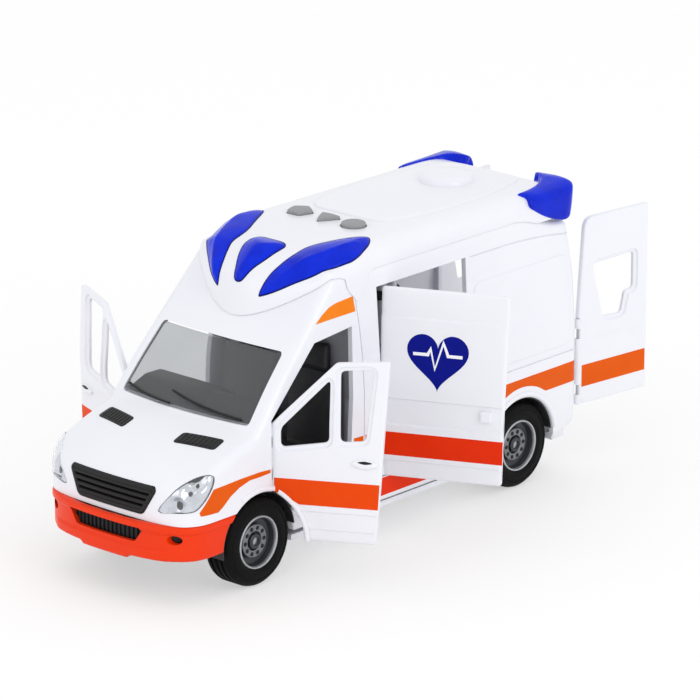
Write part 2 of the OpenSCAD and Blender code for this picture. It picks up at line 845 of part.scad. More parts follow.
module hinge_rods() {
  color(steel) {
    both_sides_of() hinge_rod(front_hinge, front_barrel_z);
    hinge_rod(side_hinge, side_barrel_z);
    both_sides_of() hinge_rod(rear_hinge, rear_barrel_z);
  }
}

// Base plate with axle carriers, screw holes and the battery box
wheel_out_y = half_w - 0.6;
wheel_in_y = wheel_out_y - tyre_w;
carrier_half = 4.5;
carrier_y = wheel_in_y - 3;
carrier_t = 6;
axle_hole = axle_d / 2 + run_gap;
base_front_x = carrier_half + 6;
base_plan = both_sides([
  [base_front_x, wheel_in_y - 1.6],
  [-arch_r, wheel_in_y - 1.6],
  [-arch_r - 2, base_w / 2],
  [-wheelbase + arch_r + 2, base_w / 2],
  [-wheelbase + arch_r, wheel_in_y - 1.6],
  [-wheelbase - arch_r, wheel_in_y - 1.6],
  [-wheelbase - arch_r - 2, base_w / 2 - 6],
  [rear_x + 6, base_w / 2 - 6]
]);
box_t = 1.6;
box_len = cell_len + 6;
box_x = -bulkhead_x - liner_t - 10 - box_len;
cell_x = box_x + 3;
box_half = cell_count * cell_d / 2 + 1;
floor_foot_z = base_top_z + cell_d + 0.4;
floor_z = floor_foot_z + liner_t;
cover_rim = 1.2;
screw_head_t = 1.3;
module base_plate() {
  color(white) difference() {
    union() {
      plan_prism(base_plan, base_z, base_top_z);
      for (x = [0, -wheelbase]) both_sides_of()
        block(
          x - carrier_half, x + carrier_half, carrier_y - carrier_t, carrier_y,
          base_top_z - 1, wheel_r + 5
        );
      block(
        box_x - box_t, box_x + box_len + box_t, -box_half - box_t, box_half + box_t,
        base_top_z - 1, floor_foot_z - fit_gap
      );
    }
    for (x = [0, -wheelbase]) across(x, wheel_r, -far, far, axle_hole);
    block(box_x, box_x + box_len, -box_half, box_half, base_z - 1, far);
    both_sides_of() for (x = post_x) post(x, post_y, base_z - 1, base_top_z + 1, screw_d / 2 + 0.3);
    both_sides_of() for (x = post_x) post(x, post_y, base_z - 1, base_z + screw_head_t, screw_head_r + 0.2);
  }
}
cover_screw_x = box_x + box_len - cover_rim - 1.6;
module battery_cover() {
  color(white) difference() {
    block(
      box_x + fit_gap, box_x + box_len - fit_gap, -box_half + fit_gap, box_half - fit_gap,
      base_z + fit_gap, base_top_z - fit_gap
    );
    post(cover_screw_x, 0, base_z - 1, base_top_z + 1, screw_d / 2 + fit_gap);
    post(cover_screw_x, 0, base_z - 1, base_z + screw_head_t, screw_head_r);
  }
}
module battery_cover_screw() {
  color(steel) {
    post(cover_screw_x, 0, base_z + 0.2, base_z + screw_head_t, screw_head_r - fit_gap);
    post(cover_screw_x, 0, base_z + screw_head_t, base_top_z + 1, screw_d / 2);
  }
}
module battery_cells() {
  color("#4c6a8c") for (i = [0:cell_count - 1]) {
    y = (i - (cell_count - 1) / 2) * cell_d;
    translate([cell_x, y, base_top_z + cell_d / 2]) rotate([0, 90, 0]) {
      cylinder(h = cell_len - 1, d = cell_d - 2 * fit_gap);
      cylinder(h = cell_len, d = cell_d / 3);
    }
  }
}
module battery_contacts() {
  contact_w = cell_count * cell_d - 3;
  color(steel) {
    for (x = [box_x + fit_gap, cell_x + cell_len + fit_gap]) {
      block(x, x + 3 - 2 * fit_gap, -contact_w / 2, contact_w / 2, base_top_z + 3, base_top_z + 8);
    }
  }
}
module base_screws() {
  color(steel) both_sides_of() for (x = post_x) {
    post(x, post_y, base_z + 0.2, base_z + screw_head_t, screw_head_r);
    post(x, post_y, base_z + screw_head_t, base_top_z + screw_reach, screw_d / 2);
  }
}

// Interior
inner_half = half_w - wall - 0.6;
upper_half = side_y(seam_z) - wall - 0.6;
dash_x = [-14, 1];
steering_y = 17;
steering_x = dash_x[0] - 6;
steering_z = belt_z - 8;
column_r = 1.6;
column_len = 12;
module at_steering() translate([steering_x, steering_y, steering_z]) rotate([0, -60, 0]) children();
module dashboard() {
  color(black) difference() {
    intersection() {
      union() {
        side_prism([
          [dash_x[0], belt_z - 20], [dash_x[1], belt_z - 24], [dash_x[1] + 7, belt_z - 8],
          [dash_x[1] + 1, belt_z - 3.4], [dash_x[0] + 6, belt_z - 2], [dash_x[0], belt_z - 8]
        ], -inner_half + 6, inner_half - 6);
        block(-front_door_x + 4, dash_x[1] + 4, -half_w, half_w, belt_z - 18, belt_z - 8);
      }
      body_form(wall + 0.3);
    }
    at_steering() translate([0, 0, -column_len - 2]) cylinder(h = column_len + 2, r = column_r + fit_gap);
  }
}
module steering_wheel() {
  color(black) at_steering() {
    rotate_extrude() translate([steering_d / 2 - 1.2, 0]) circle(r = 1.2, $fn = 24);
    translate([0, 0, -1]) cylinder(h = 2, r = 3);
    for (a = [0, 120, 240]) rotate([0, 0, a]) translate([0, -1, -0.8]) cube([steering_d / 2 - 1, 2, 1.6]);
    translate([0, 0, -column_len]) cylinder(h = column_len, r = column_r);
  }
}
cab_floor_z = base_top_z + 8;
cab_back_x = -bulkhead_x + fit_gap;
cab_front_x = -arch_r - 4;
module cab_floor() {
  color(black) {
    difference() {
      block(cab_back_x, cab_front_x, -inner_half, inner_half, cab_floor_z, cab_floor_z + liner_t);
      post_notches();
    }
    for (x = [cab_back_x, cab_front_x - liner_t]) {
      block(x, x + liner_t, -room_half, room_half, seat_z, cab_floor_z + 1);
    }
  }
}
seat_foot_z = cab_floor_z + liner_t;
seat_y = 19;
seat_front_x = -arch_r - 6;
seat_back_x = cab_back_x + 1;
module seat(y) {
  cushion_z = seat_foot_z + 18;
  head_w = seat_w * 0.5;
  color(black) {
    side_prism([
      [seat_back_x + 5, seat_foot_z], [seat_front_x - 2, seat_foot_z], [seat_front_x, cushion_z - 3],
      [seat_front_x - 2, cushion_z], [seat_back_x + 9, cushion_z], [seat_back_x + 6, belt_z + 8],
      [seat_back_x + 1, belt_z + 8], [seat_back_x + 1, cushion_z]
    ], y - seat_w / 2, y + seat_w / 2);
    side_prism([
      [seat_back_x + 1, belt_z + 7.8], [seat_back_x + 5.5, belt_z + 7.8], [seat_back_x + 5, belt_z + 19],
      [seat_back_x + 1, belt_z + 19]
    ], y - head_w / 2, y + head_w / 2);
  }
}
module left_seat() seat(seat_y);
module right_seat() seat(-seat_y);

bulkhead_front = both_halves([
  [room_half, seat_z],
  [room_half, post_top_z + post_room],
  [inner_half - post_room, post_top_z + post_room],
  [inner_half - post_room, belt_z],
  [upper_half - 2 * post_room, seam_z - wall - 0.4]
]);
module bulkhead() color(grey) front_prism(bulkhead_front, -bulkhead_x - liner_t, -bulkhead_x);

floor_end_x = rear_x + wall + 0.6;
house_half = arch_r + 2.6;
house_in_y = wheel_in_y - 2.4;
house_top_z = wheel_r + arch_r + liner_t + 0.4;
room_front_x = -bulkhead_x - liner_t - fit_gap;
floor_leg = [4, 6];
module patient_floor() {
  color(grey) {
    difference() {
      block(floor_end_x, room_front_x, -inner_half, inner_half, floor_foot_z, floor_z);
      both_sides_of() block(-wheelbase - house_half, -wheelbase + house_half, house_in_y, far, 0, far);
      post_notches();
    }
    both_sides_of() {
      block(
        room_front_x - floor_leg[0], room_front_x, room_half - floor_leg[1], room_half,
        seat_z, floor_z - 1
      );
      translate([floor_end_x + floor_leg[1], house_in_y - 2 * floor_leg[1], 0])
        block(0, floor_leg[0], 0, floor_leg[1], seat_z, floor_z - 1);
    }
  }
}
module left_wheel_house() {
  color(grey) difference() {
    block(
      -wheelbase - house_half - liner_t, -wheelbase + house_half + liner_t,
      house_in_y - liner_t, inner_half, floor_z, house_top_z
    );
    block(-wheelbase - house_half, -wheelbase + house_half, house_in_y, far, 0, house_top_z - liner_t);
  }
}
module right_wheel_house() mirror([0, 1, 0]) left_wheel_house();

cabinet_x = [-wheelbase + house_half + liner_t + 1, room_front_x - 3];
cabinet_d = 12;
cabinet_top_z = seam_z - wall - 14;
cabinet_y = -room_half;
module equipment_cabinet() {
  mid_x = (cabinet_x[0] + cabinet_x[1]) / 2;
  color("#b4b7bd") difference() {
    block(cabinet_x[0], cabinet_x[1], cabinet_y, cabinet_y + cabinet_d, floor_z, cabinet_top_z);
    for (x = [cabinet_x[0] + 3, mid_x + 1.5]) for (z = [floor_z + 4, floor_z + 44]) {
      block(
        x, x + (cabinet_x[1] - cabinet_x[0]) / 2 - 4.5, cabinet_y + 2, cabinet_y + cabinet_d + 1,
        z, z + 34
      );
    }
  }
}
bottle_x = cabinet_x[0] - bottle_d / 2 - 2;
bottle_y = cabinet_y + bottle_d / 2 + 1;
bottle_foot_z = house_top_z;
bottle_top_z = bottle_foot_z + bottle_h;
clamp_h = 4;
module oxygen_bottle() {
  color("#d9dce1") {
    post(bottle_x, bottle_y, bottle_foot_z, bottle_top_z, bottle_d / 2);
    translate([bottle_x, bottle_y, bottle_top_z]) cylinder(h = 4, r1 = bottle_d / 2, r2 = 3);
    post(bottle_x, bottle_y, bottle_top_z + 4, bottle_top_z + 8, 2);
  }
}
module bottle_clamps() {
  clamp_r = bottle_d / 2 + fit_gap;
  color(black) for (share = [0.23, 0.7]) translate([0, 0, bottle_foot_z + share * bottle_h]) difference() {
    union() {
      post(bottle_x, bottle_y, 0, clamp_h, clamp_r + 1.2);
      block(bottle_x, cabinet_x[0], bottle_y - clamp_r / 2, bottle_y + clamp_r / 2, 0, clamp_h);
    }
    post(bottle_x, bottle_y, -1, clamp_h + 1, clamp_r);
  }
}

// Wheels
axle_end_y = wheel_out_y - 3;
module axle(x) color(steel) across(x, wheel_r, -axle_end_y, axle_end_y, axle_d / 2);
module front_axle() axle(0);
module rear_axle() axle(-wheelbase);

module at_wheel(x, side) translate([x, side * wheel_in_y, wheel_r]) rotate([-90 * side, 0, 0]) children();
module tyre() {
  shoulder = 2.4;
  color(black) difference() {
    rotate_extrude() polygon([
      [rim_d / 2, 0.8], [wheel_r - shoulder, 0], [wheel_r - 0.7, 0.7], [wheel_r, shoulder],
      [wheel_r, tyre_w - shoulder], [wheel_r - 0.7, tyre_w - 0.7], [wheel_r - shoulder, tyre_w],
      [rim_d / 2, tyre_w - 0.8]
    ]);
    for (z = [0.35, 0.65]) translate([0, 0, tyre_w * z - 0.5]) difference() {
      cylinder(h = 1, r = wheel_r + 1);
      translate([0, 0, -1]) cylinder(h = 3, r = wheel_r - 0.8);
    }
  }
}
dish_z = tyre_w - 5;
ring_r = rim_d / 2 - 1.4;
module rim() {
  color(grey) difference() {
    union() {
      rotate_extrude() polygon([
        [axle_d / 2, 1.5], [rim_d / 2 - fit_gap, 1.5], [rim_d / 2 - fit_gap, tyre_w - 0.4],
        [ring_r + 0.7, tyre_w + 0.2], [ring_r - 0.7, tyre_w - 0.6], [ring_r - 1.6, dish_z],
        [5, dish_z - 1], [4.4, tyre_w - 2.4], [axle_d / 2, tyre_w - 2.4]
      ]);
      for (i = [0:bolt_count - 1]) rotate([0, 0, i * 360 / bolt_count])
        translate([(ring_r + 4) / 2, 0, dish_z - 2]) cylinder(h = 3.2, r = 0.8, $fn = 24);
      translate([0, 0, tyre_w - 3]) cylinder(h = 1.4, r = 4.4);
    }
  }
}
module front_left_tyre() at_wheel(0, 1) tyre();
module front_right_tyre() at_wheel(0, -1) tyre();
module rear_left_tyre() at_wheel(-wheelbase, 1) tyre();
module rear_right_tyre() at_wheel(-wheelbase, -1) tyre();
module front_left_rim() at_wheel(0, 1) rim();
module front_right_rim() at_wheel(0, -1) rim();
module rear_left_rim() at_wheel(-wheelbase, 1) rim();
module rear_right_rim() at_wheel(-wheelbase, -1) rim();

in_frame() body_shell();
in_frame() roof_cap();
in_frame() windscreen();
in_frame() front_bumper();
in_frame() intake_mesh();
in_frame() radiator_grille();
in_frame() bonnet_vents();
in_frame() headlight_reflectors();
in_frame() headlight_lenses();
in_frame() front_left_beacon_lens();
in_frame() front_right_beacon_lens();
in_frame() centre_beacon_lens();
in_frame() rear_left_beacon_lens();
in_frame() rear_right_beacon_lens();
in_frame() base_plate();
in_frame() battery_cover();
in_frame() battery_cover_screw();
in_frame() battery_cells();
in_frame() battery_contacts();
in_frame() base_screws();
in_frame() dashboard();
in_frame() steering_wheel();
in_frame() cab_floor();
in_frame() left_seat();
in_frame() right_seat();
in_frame() bulkhead();
in_frame() patient_floor();
in_frame() left_wheel_house();
in_frame() right_wheel_house();
in_frame() equipment_cabinet();
in_frame() oxygen_bottle();
in_frame() bottle_clamps();
in_frame() circuit_board();
in_frame() button_switches();
in_frame() speaker();
in_frame() beacon_leds();
in_frame() hinge_rods();
in_frame() front_axle();
in_frame() rear_axle();
in_frame() front_left_tyre();
in_frame() front_right_tyre();
in_frame() rear_left_tyre();
in_frame() rear_right_tyre();
in_frame() front_left_rim();
in_frame() front_right_rim();
in_frame() rear_left_rim();
in_frame() rear_right_rim();
in_frame() front_left_door();
in_frame() front_right_door();
in_frame() side_door();
in_frame() rear_left_door();
in_frame() rear_right_door();
in_frame() round_button();
in_frame() triangle_button();
in_frame() pentagon_button();
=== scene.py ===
import json
import math
import bmesh
import bpy
import numpy as np
from mathutils import Matrix, Vector
from mathutils.geometry import delaunay_2d_cdt


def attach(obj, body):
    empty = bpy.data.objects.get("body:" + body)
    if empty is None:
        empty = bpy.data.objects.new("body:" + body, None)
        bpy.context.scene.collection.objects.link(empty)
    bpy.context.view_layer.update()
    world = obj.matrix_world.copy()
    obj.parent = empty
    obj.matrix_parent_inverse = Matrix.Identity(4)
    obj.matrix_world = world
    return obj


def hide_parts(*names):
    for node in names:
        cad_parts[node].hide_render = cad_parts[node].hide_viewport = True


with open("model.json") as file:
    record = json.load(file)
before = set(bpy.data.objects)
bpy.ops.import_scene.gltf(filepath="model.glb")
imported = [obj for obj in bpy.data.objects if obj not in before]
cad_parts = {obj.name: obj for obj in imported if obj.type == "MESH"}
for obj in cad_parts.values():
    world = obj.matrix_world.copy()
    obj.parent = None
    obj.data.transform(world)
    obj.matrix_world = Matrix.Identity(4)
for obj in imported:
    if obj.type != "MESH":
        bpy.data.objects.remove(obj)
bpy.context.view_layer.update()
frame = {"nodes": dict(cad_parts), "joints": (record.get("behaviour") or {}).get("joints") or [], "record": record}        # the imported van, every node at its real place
mm = 0.001
joints = {j["name"]: j for j in frame["joints"]}
# shapes are drawn from the front axle, in millimetres
axleX = joints["front_axle_spin"]["pos_m"][0] / mm
wheelR = joints["front_axle_spin"]["pos_m"][2] / mm
wheelbase = axleX - joints["rear_axle_spin"]["pos_m"][0] / mm
print("frame: wheelbase %.1f mm, wheel radius %.1f mm" % (wheelbase, wheelR))

# main sizes of the mouldings, millimetres
van = {
    "halfWidth": 43.2, "noseX": 49.3, "rearX": -wheelbase - 39.0, "sillZ": 17.4, "beltZ": 70.0,
    "seamZ": 124.5, "lean": 4.0, "wall": 2.4, "screenFoot": (4.7, 69.8), "screenSlope": 45.7,
    "bumperTop": 36.6, "bumperFoot": 20.6, "archR": wheelR + 2.8, "noseDepth": 21.5, "nosePower": 0.78,
    "bonnetCrown": 3.4, "screenBulge": 2.4, "shoulder": 3.4, "capDip": 8.0, "capTop": 134.7, "capNose": 44.3,
    "capSweep": 24, "capEdge": 2.2, "capBlend": 7, "brimLift": 1.9, "brimEdge": 1.6, "hingeY": 41.7,
}
hands = {"left": 1, "right": -1}        # the sign of y on either side


# colour and node helpers
def hexColor(code):
    rgb = [int(code[i:i + 2], 16) / 255 for i in (1, 3, 5)]
    return tuple(c / 12.92 if c <= 0.04045 else ((c + 0.055) / 1.055) ** 2.4 for c in rgb) + (1.0,)


def addNode(tree, kind, inputs=None, **settings):
    made = tree.nodes.new(kind)
    for key, value in settings.items():
        setattr(made, key, value)
    for key, value in (inputs or {}).items():
        if isinstance(value, bpy.types.NodeSocket):
            tree.links.new(value, made.inputs[key])
        else:
            made.inputs[key].default_value = value
    return made


def newMaterial(name):
    mat = bpy.data.materials.new(name)
    mat.use_nodes = True
    tree = mat.node_tree
    tree.nodes.clear()
    shader = addNode(tree, "ShaderNodeBsdfPrincipled")
    addNode(tree, "ShaderNodeOutputMaterial", {"Surface": shader.outputs["BSDF"]})
    coords = addNode(tree, "ShaderNodeTexCoord").outputs["Object"]
    return mat, tree, shader, coords


# plastic: a base colour with slow shade drift, a roughness that wanders, and a fine surface bump
def plastic(name, look):
    mat, tree, shader, coords = newMaterial(name)
    drift = addNode(tree, "ShaderNodeTexNoise",
                    {"Vector": coords, "Scale": 1 / (look["driftMm"] * mm), "Detail": 3.0})
    tone = addNode(tree, "ShaderNodeMix", {"Factor": drift.outputs["Fac"]}, data_type="RGBA")
    for key, value in (("A", look["dark"]), ("B", look["light"])):
        next(s for s in tone.inputs if s.name == key and s.type == "RGBA").default_value = hexColor(value)
    colour = next(s for s in tone.outputs if s.type == "RGBA")
    grain = addNode(tree, "ShaderNodeTexNoise",
                    {"Vector": coords, "Scale": 1 / (look["grainMm"] * mm), "Detail": 2.0})
    rough = addNode(tree, "ShaderNodeMapRange", {"Value": grain.outputs["Fac"], "To Min": look["rough"][0],
                                                 "To Max": look["rough"][1]})
    bump = addNode(tree, "ShaderNodeBump", {"Height": grain.outputs["Fac"], "Strength": look["bump"],
                                            "Distance": look["grainMm"] * mm * 0.2})
    tree.links.new(colour, shader.inputs["Base Color"])
    tree.links.new(rough.outputs["Result"], shader.inputs["Roughness"])
    tree.links.new(bump.outputs["Normal"], shader.inputs["Normal"])
    for key, value in look.get("set", {}).items():
        shader.inputs[key].default_value = value
    return mat


def printInk(name, dark, light):
    return plastic(name, {"dark": dark, "light": light, "driftMm": 9, "grainMm": 0.8, "rough": (0.36, 0.46),
                          "bump": 0.05, "set": {"IOR": 1.48, "Specular IOR Level": 0.12}})


finishes = {
    # high-gloss injection moulded ABS: cool white, a soft sheen with a faint orange peel
    "whiteAbs": plastic("gloss_white_abs", {
        "dark": "#E9EAF1", "light": "#EFF0F6", "driftMm": 40, "grainMm": 1.6, "rough": (0.26, 0.34),
        "bump": 0.05, "set": {"IOR": 1.53, "Coat Weight": 0.15, "Coat Roughness": 0.12}}),
    # the same ABS moulded in orange-red
    "bumperAbs": plastic("gloss_orange_abs", {
        "dark": "#E83200", "light": "#F23C00", "driftMm": 26, "grainMm": 1.4, "rough": (0.30, 0.40),
        "bump": 0.06, "set": {"IOR": 1.53, "Specular IOR Level": 0.2}}),
    # pad-printed ink on ABS: flat, even, a little less glossy than the plastic under it
    "orangeInk": printInk("orange_print_ink", "#DE5400", "#E65E00"),
    "redInk": printInk("red_orange_print_ink", "#E02A00", "#E83200"),
    "vermilionInk": printInk("vermilion_print_ink", "#E44200", "#EC4C00"),
    "amberInk": printInk("amber_print_ink", "#F07C06", "#F8881A"),
    "navyInk": printInk("navy_print_ink", "#000A78", "#00108C"),
    "whiteInk": printInk("white_print_ink", "#F0F1F6", "#F8F9FC"),
    # spark-eroded black ABS: satin, with a leathery grain drawn at 0.9 mm so that it shows
    "blackAbs": plastic("grained_black_abs", {
        "dark": "#0E0E10", "light": "#17171A", "driftMm": 14, "grainMm": 0.9, "rough": (0.36, 0.54),
        "bump": 0.2, "set": {"IOR": 1.53, "Specular IOR Level": 0.3}}),
    # the same ABS, duller, in the cab and the wheel arches
    "cabinAbs": plastic("matt_black_abs", {
        "dark": "#17171A", "light": "#242428", "driftMm": 12, "grainMm": 1.1, "rough": (0.45, 0.65),
        "bump": 0.3, "set": {"IOR": 1.53}}),
    # satin grey ABS of the patient room
    "greyAbs": plastic("satin_grey_abs", {
        "dark": "#9C9DA3", "light": "#A9AAB0", "driftMm": 20, "grainMm": 1.0, "rough": (0.42, 0.56),
        "bump": 0.15, "set": {"IOR": 1.53}}),
    # dark blue tray under the beacon lenses: painted shade, a dark sheet that shows as a thin line round them
    # and darkens the light through them
    "navyShadeTray": plastic("navy_painted_shade_abs", {
        "dark": "#000C58", "light": "#02106A", "driftMm": 8, "grainMm": 0.9, "rough": (0.4, 0.5), "bump": 0.1,
        "set": {"IOR": 1.53, "Specular IOR Level": 0.1}}),
    # soft-touch elastomer of the buttons: matt mid grey
    "buttonRubber": plastic("grey_elastomer", {
        "dark": "#8F9093", "light": "#9C9DA0", "driftMm": 6, "grainMm": 0.5, "rough": (0.55, 0.7),
        "bump": 0.18, "set": {"IOR": 1.45}}),
    # soft PVC tyre: black, dull, with dusty patches
    "tyrePvc": plastic("soft_black_pvc", {
        "dark": "#080809", "light": "#0F0F10", "driftMm": 7, "grainMm": 0.7, "rough": (0.55, 0.75),
        "bump": 0.3, "set": {"IOR": 1.5, "Specular IOR Level": 0.12}}),
    # dark ABS of the wheel dishes
    "rimGrey": plastic("dark_grey_abs", {
        "dark": "#26282B", "light": "#34363A", "driftMm": 6, "grainMm": 0.6, "rough": (0.34, 0.46),
        "bump": 0.1, "set": {"IOR": 1.53}}),
    # darker silver paint under the ring of black dots, which are painted shade for the holes of the wheel
    "platePaint": plastic("dark_silver_paint", {
        "dark": "#66686C", "light": "#8C8E92", "driftMm": 1.2, "grainMm": 0.5, "rough": (0.3, 0.42),
        "bump": 0.12, "set": {"Metallic": 0.6}}),
    # silver paint: fine metal flakes in lacquer
    "silverPaint": plastic("silver_paint", {
        "dark": "#A9ABB0", "light": "#C9CBCF", "driftMm": 1.2, "grainMm": 0.5, "rough": (0.28, 0.42),
        "bump": 0.12, "set": {"Metallic": 0.75}}),
    # bright drawn steel of axles, hinge rods and screws
    "steelWire": plastic("drawn_steel", {
        "dark": "#A6A9AE", "light": "#C2C5CA", "driftMm": 2.5, "grainMm": 0.4, "rough": (0.25, 0.4),
        "bump": 0.08, "set": {"Metallic": 1.0}}),
    # vacuum-plated reflector: mirror bright with a slight ripple
    "chromePlate": plastic("vacuum_plated_chrome", {
        "dark": "#D6D8DC", "light": "#E9EAEC", "driftMm": 5, "grainMm": 2.2, "rough": (0.05, 0.12),
        "bump": 0.12, "set": {"Metallic": 0.9}}),
    # printed plastic sleeve of the cells
    "cellJacket": plastic("printed_cell_sleeve", {
        "dark": "#3E5C80", "light": "#4F6F94", "driftMm": 8, "grainMm": 0.8, "rough": (0.3, 0.4),
        "bump": 0.05}),
    # green solder mask on a glass-fibre board
    "solderMask": plastic("green_solder_mask", {
        "dark": "#1F6636", "light": "#2B7A43", "driftMm": 3, "grainMm": 0.6, "rough": (0.3, 0.45),
        "bump": 0.15}),
    # clear polystyrene, tinted: the light goes through it and its skin is glossy
    "blueLens": plastic("clear_blue_polystyrene", {
        "dark": "#0014B8", "light": "#0038FF", "driftMm": 9, "grainMm": 3.0, "rough": (0.05, 0.10),
        "bump": 0.05, "set": {"IOR": 1.49, "Transmission Weight": 0.18, "Specular IOR Level": 0.08}}),
    # the same polystyrene, smoked for the windscreen
    "smokedScreen": plastic("smoked_clear_polystyrene", {
        "dark": "#BCBFC3", "light": "#C8CBCE", "driftMm": 30, "grainMm": 6.0, "rough": (0.03, 0.07),
        "bump": 0.02,
        "set": {"IOR": 1.2, "Transmission Weight": 0.93, "Coat Weight": 0.5, "Coat Roughness": 0.03}}),
    # the same polystyrene, clear for the headlights
    "clearLens": plastic("clear_polystyrene", {
        "dark": "#F4F6FA", "light": "#FBFCFE", "driftMm": 12, "grainMm": 4.0, "rough": (0.02, 0.05),
        "bump": 0.02,
        "set": {"IOR": 1.12, "Transmission Weight": 0.97, "Coat Weight": 0.6, "Coat Roughness": 0.03}}),
    # cast clear epoxy of the small lamps
    "ledEpoxy": plastic("clear_led_epoxy", {
        "dark": "#CFDCF6", "light": "#E6EEFC", "driftMm": 3, "grainMm": 1.0, "rough": (0.1, 0.2),
        "bump": 0.03, "set": {"IOR": 1.5, "Transmission Weight": 0.4}}),
}
print("materials:", len(finishes))


# outlines, as arrays of points in millimetres
def smoothStep(low, high, x):
    t = np.clip((x - low) / (high - low), 0, 1)
    return t * t * (3 - 2 * t)


def roundedLoop(corners, radius, steps=5):
    # a closed outline with each corner turned into an arc; radius is one number or one for each corner
    corners = [np.array(c, float) for c in corners]
    radii = [radius] * len(corners) if np.isscalar(radius) else radius
    points = []
    for i, corner in enumerate(corners):
        before, after = corners[i - 1] - corner, corners[(i + 1) % len(corners)] - corner
        reach = min(radii[i], 0.48 * np.linalg.norm(before), 0.48 * np.linalg.norm(after))
        a = corner + before / np.linalg.norm(before) * reach
        b = corner + after / np.linalg.norm(after) * reach
        for t in np.linspace(0, 1, steps + 1) if reach > 1e-6 else [0.5]:
            points.append((1 - t) ** 2 * a + 2 * t * (1 - t) * corner + t * t * b)
    return np.array(points)


def splineLoop(points, steps=8):
    # a closed smooth curve through given points
    p = np.array(points, float)
    made = []
    for i in range(len(p)):
        a, b, c, d = p[i - 1], p[i], p[(i + 1) % len(p)], p[(i + 2) % len(p)]
        for t in np.arange(steps) / steps:
            made.append(0.5 * (2 * b + (c - a) * t + (2 * a - 5 * b + 4 * c - d) * t ** 2
                               + (3 * b - a - 3 * c + d) * t ** 3))
    return np.array(made)


def wholeTurn(steps):
    return np.linspace(0, 2 * math.pi, steps, endpoint=False)


def spokes(radius, angles):
    # points at one distance from the origin
    return np.array([(radius * math.cos(a), radius * math.sin(a)) for a in angles])


def bothHalves(half, flip=(1, -1)):
    # closes half an outline with its mirror image
    half = np.asarray(half, float)
    return np.concatenate([half, half[::-1] * flip])


def bend(a, b, c, steps):
    # a curve from a to c that is drawn towards b
    a, b, c = (np.array(p, float) for p in (a, b, c))
    return np.array([(1 - t) ** 2 * a + 2 * t * (1 - t) * b + t * t * c
                     for t in np.linspace(0, 1, steps + 1)])


def outlineDistance(points, outline):
    # signed distance of points to a closed outline, negative inside
    a = np.asarray(outline, float)
    b = np.roll(a, -1, 0)
    along = b - a
    span = (along ** 2).sum(1) + 1e-12
    made = np.empty(len(points))
    for start in range(0, len(points), 20000):
        p = points[start:start + 20000, None, :]
        t = np.clip(((p - a) * along).sum(2) / span, 0, 1)
        gap = np.sqrt(((p - a - t[..., None] * along) ** 2).sum(2)).min(1)
        crosses = (a[:, 1] > p[..., 1]) != (b[:, 1] > p[..., 1])
        where = a[:, 0] + along[:, 0] * (p[..., 1] - a[:, 1]) / np.where(along[:, 1] == 0, 1e-12, along[:, 1])
        inside = (crosses & (p[..., 0] < where)).sum(1) % 2 == 1
        made[start:start + 20000] = np.where(inside, -gap, gap)
    return made


def softMax(distances, radius):
    # joins surfaces with a round edge of that radius
    stack = np.stack(distances) + radius
    return np.minimum(stack.max(0), 0) + np.sqrt((np.maximum(stack, 0) ** 2).sum(0)) - radius


def sideY(z):
    return van["halfWidth"] - van["lean"] * np.maximum(0, z - van["beltZ"]) / (van["seamZ"] - van["beltZ"])


def screenX(z):
    return van["screenFoot"][0] - (z - van["screenFoot"][1]) / math.tan(math.radians(van["screenSlope"]))


# outer form of the body: a side outline, a plan outline and leaning sides, joined by round shoulders
quarterTurn = np.radians(np.linspace(0, 90, 40))


def noseCurve(tip, depth, half):
    # half of a rounded nose seen from above, from its tip to the side
    return np.stack([tip - depth + depth * np.cos(quarterTurn) ** van["nosePower"],
                     half * np.sin(quarterTurn) ** van["nosePower"]], 1)


rearCorner = roundedLoop([(0, van["halfWidth"]), (van["rearX"], van["halfWidth"]), (van["rearX"], 0)],
                         (0, 4, 0))
bodyPlan = bothHalves(np.concatenate([
    noseCurve(van["noseX"] + 1.2, van["noseDepth"], van["halfWidth"]), rearCorner[1:-1]]))
bonnetFront = (van["noseX"] - 4.6, van["bumperTop"] + 16.6)
bonnetLine = bend(bonnetFront, (van["noseX"] - 13.5, 62.5), van["screenFoot"], 18)
dipX, dipReach = van["rearX"] + 27, 17        # the roof steps down here, over twice that reach
roofLine = [(screenX(van["seamZ"]), van["seamZ"]), (dipX + dipReach, van["seamZ"])]
for t in np.linspace(0.1, 0.9, 9):
    fallen = van["capDip"] * (1 - math.cos(math.pi * t)) / 2
    roofLine.append((dipX + dipReach - 2 * dipReach * t, van["seamZ"] - fallen))
roofLine += [(dipX - dipReach, van["seamZ"] - van["capDip"]),
             (van["rearX"], van["seamZ"] - van["capDip"] - 0.6)]
bodySide = np.concatenate([
    [(van["rearX"], van["sillZ"] + 6), (van["rearX"] + 14, van["sillZ"]), (van["noseX"], van["sillZ"])],
    roundedLoop([(van["noseX"], van["sillZ"] + 6), bonnetFront, bonnetLine[5]], (0, 5, 0), 8)[1:-1],
    bonnetLine[5:], roofLine])


def bodyForm(p):
    share = np.minimum(np.abs(p[:, 1]) / van["halfWidth"], 1.1) ** 2
    crown = van["bonnetCrown"] * share * smoothStep(-14, 10, p[:, 0])
    profile = outlineDistance(np.stack([p[:, 0] + van["screenBulge"] * share, p[:, 2] + crown], 1), bodySide)
    turn = 4 + 6 * smoothStep(88, 122, p[:, 2])        # the rear corners grow rounder towards the roof
    beside, behind = np.abs(p[:, 1]) - sideY(p[:, 2]) + turn, van["rearX"] - p[:, 0] + turn
    corner = np.hypot(np.maximum(beside, 0), np.maximum(behind, 0)) - turn
    return softMax([profile, np.maximum(outlineDistance(p[:, :2], bodyPlan), corner)], van["shoulder"])


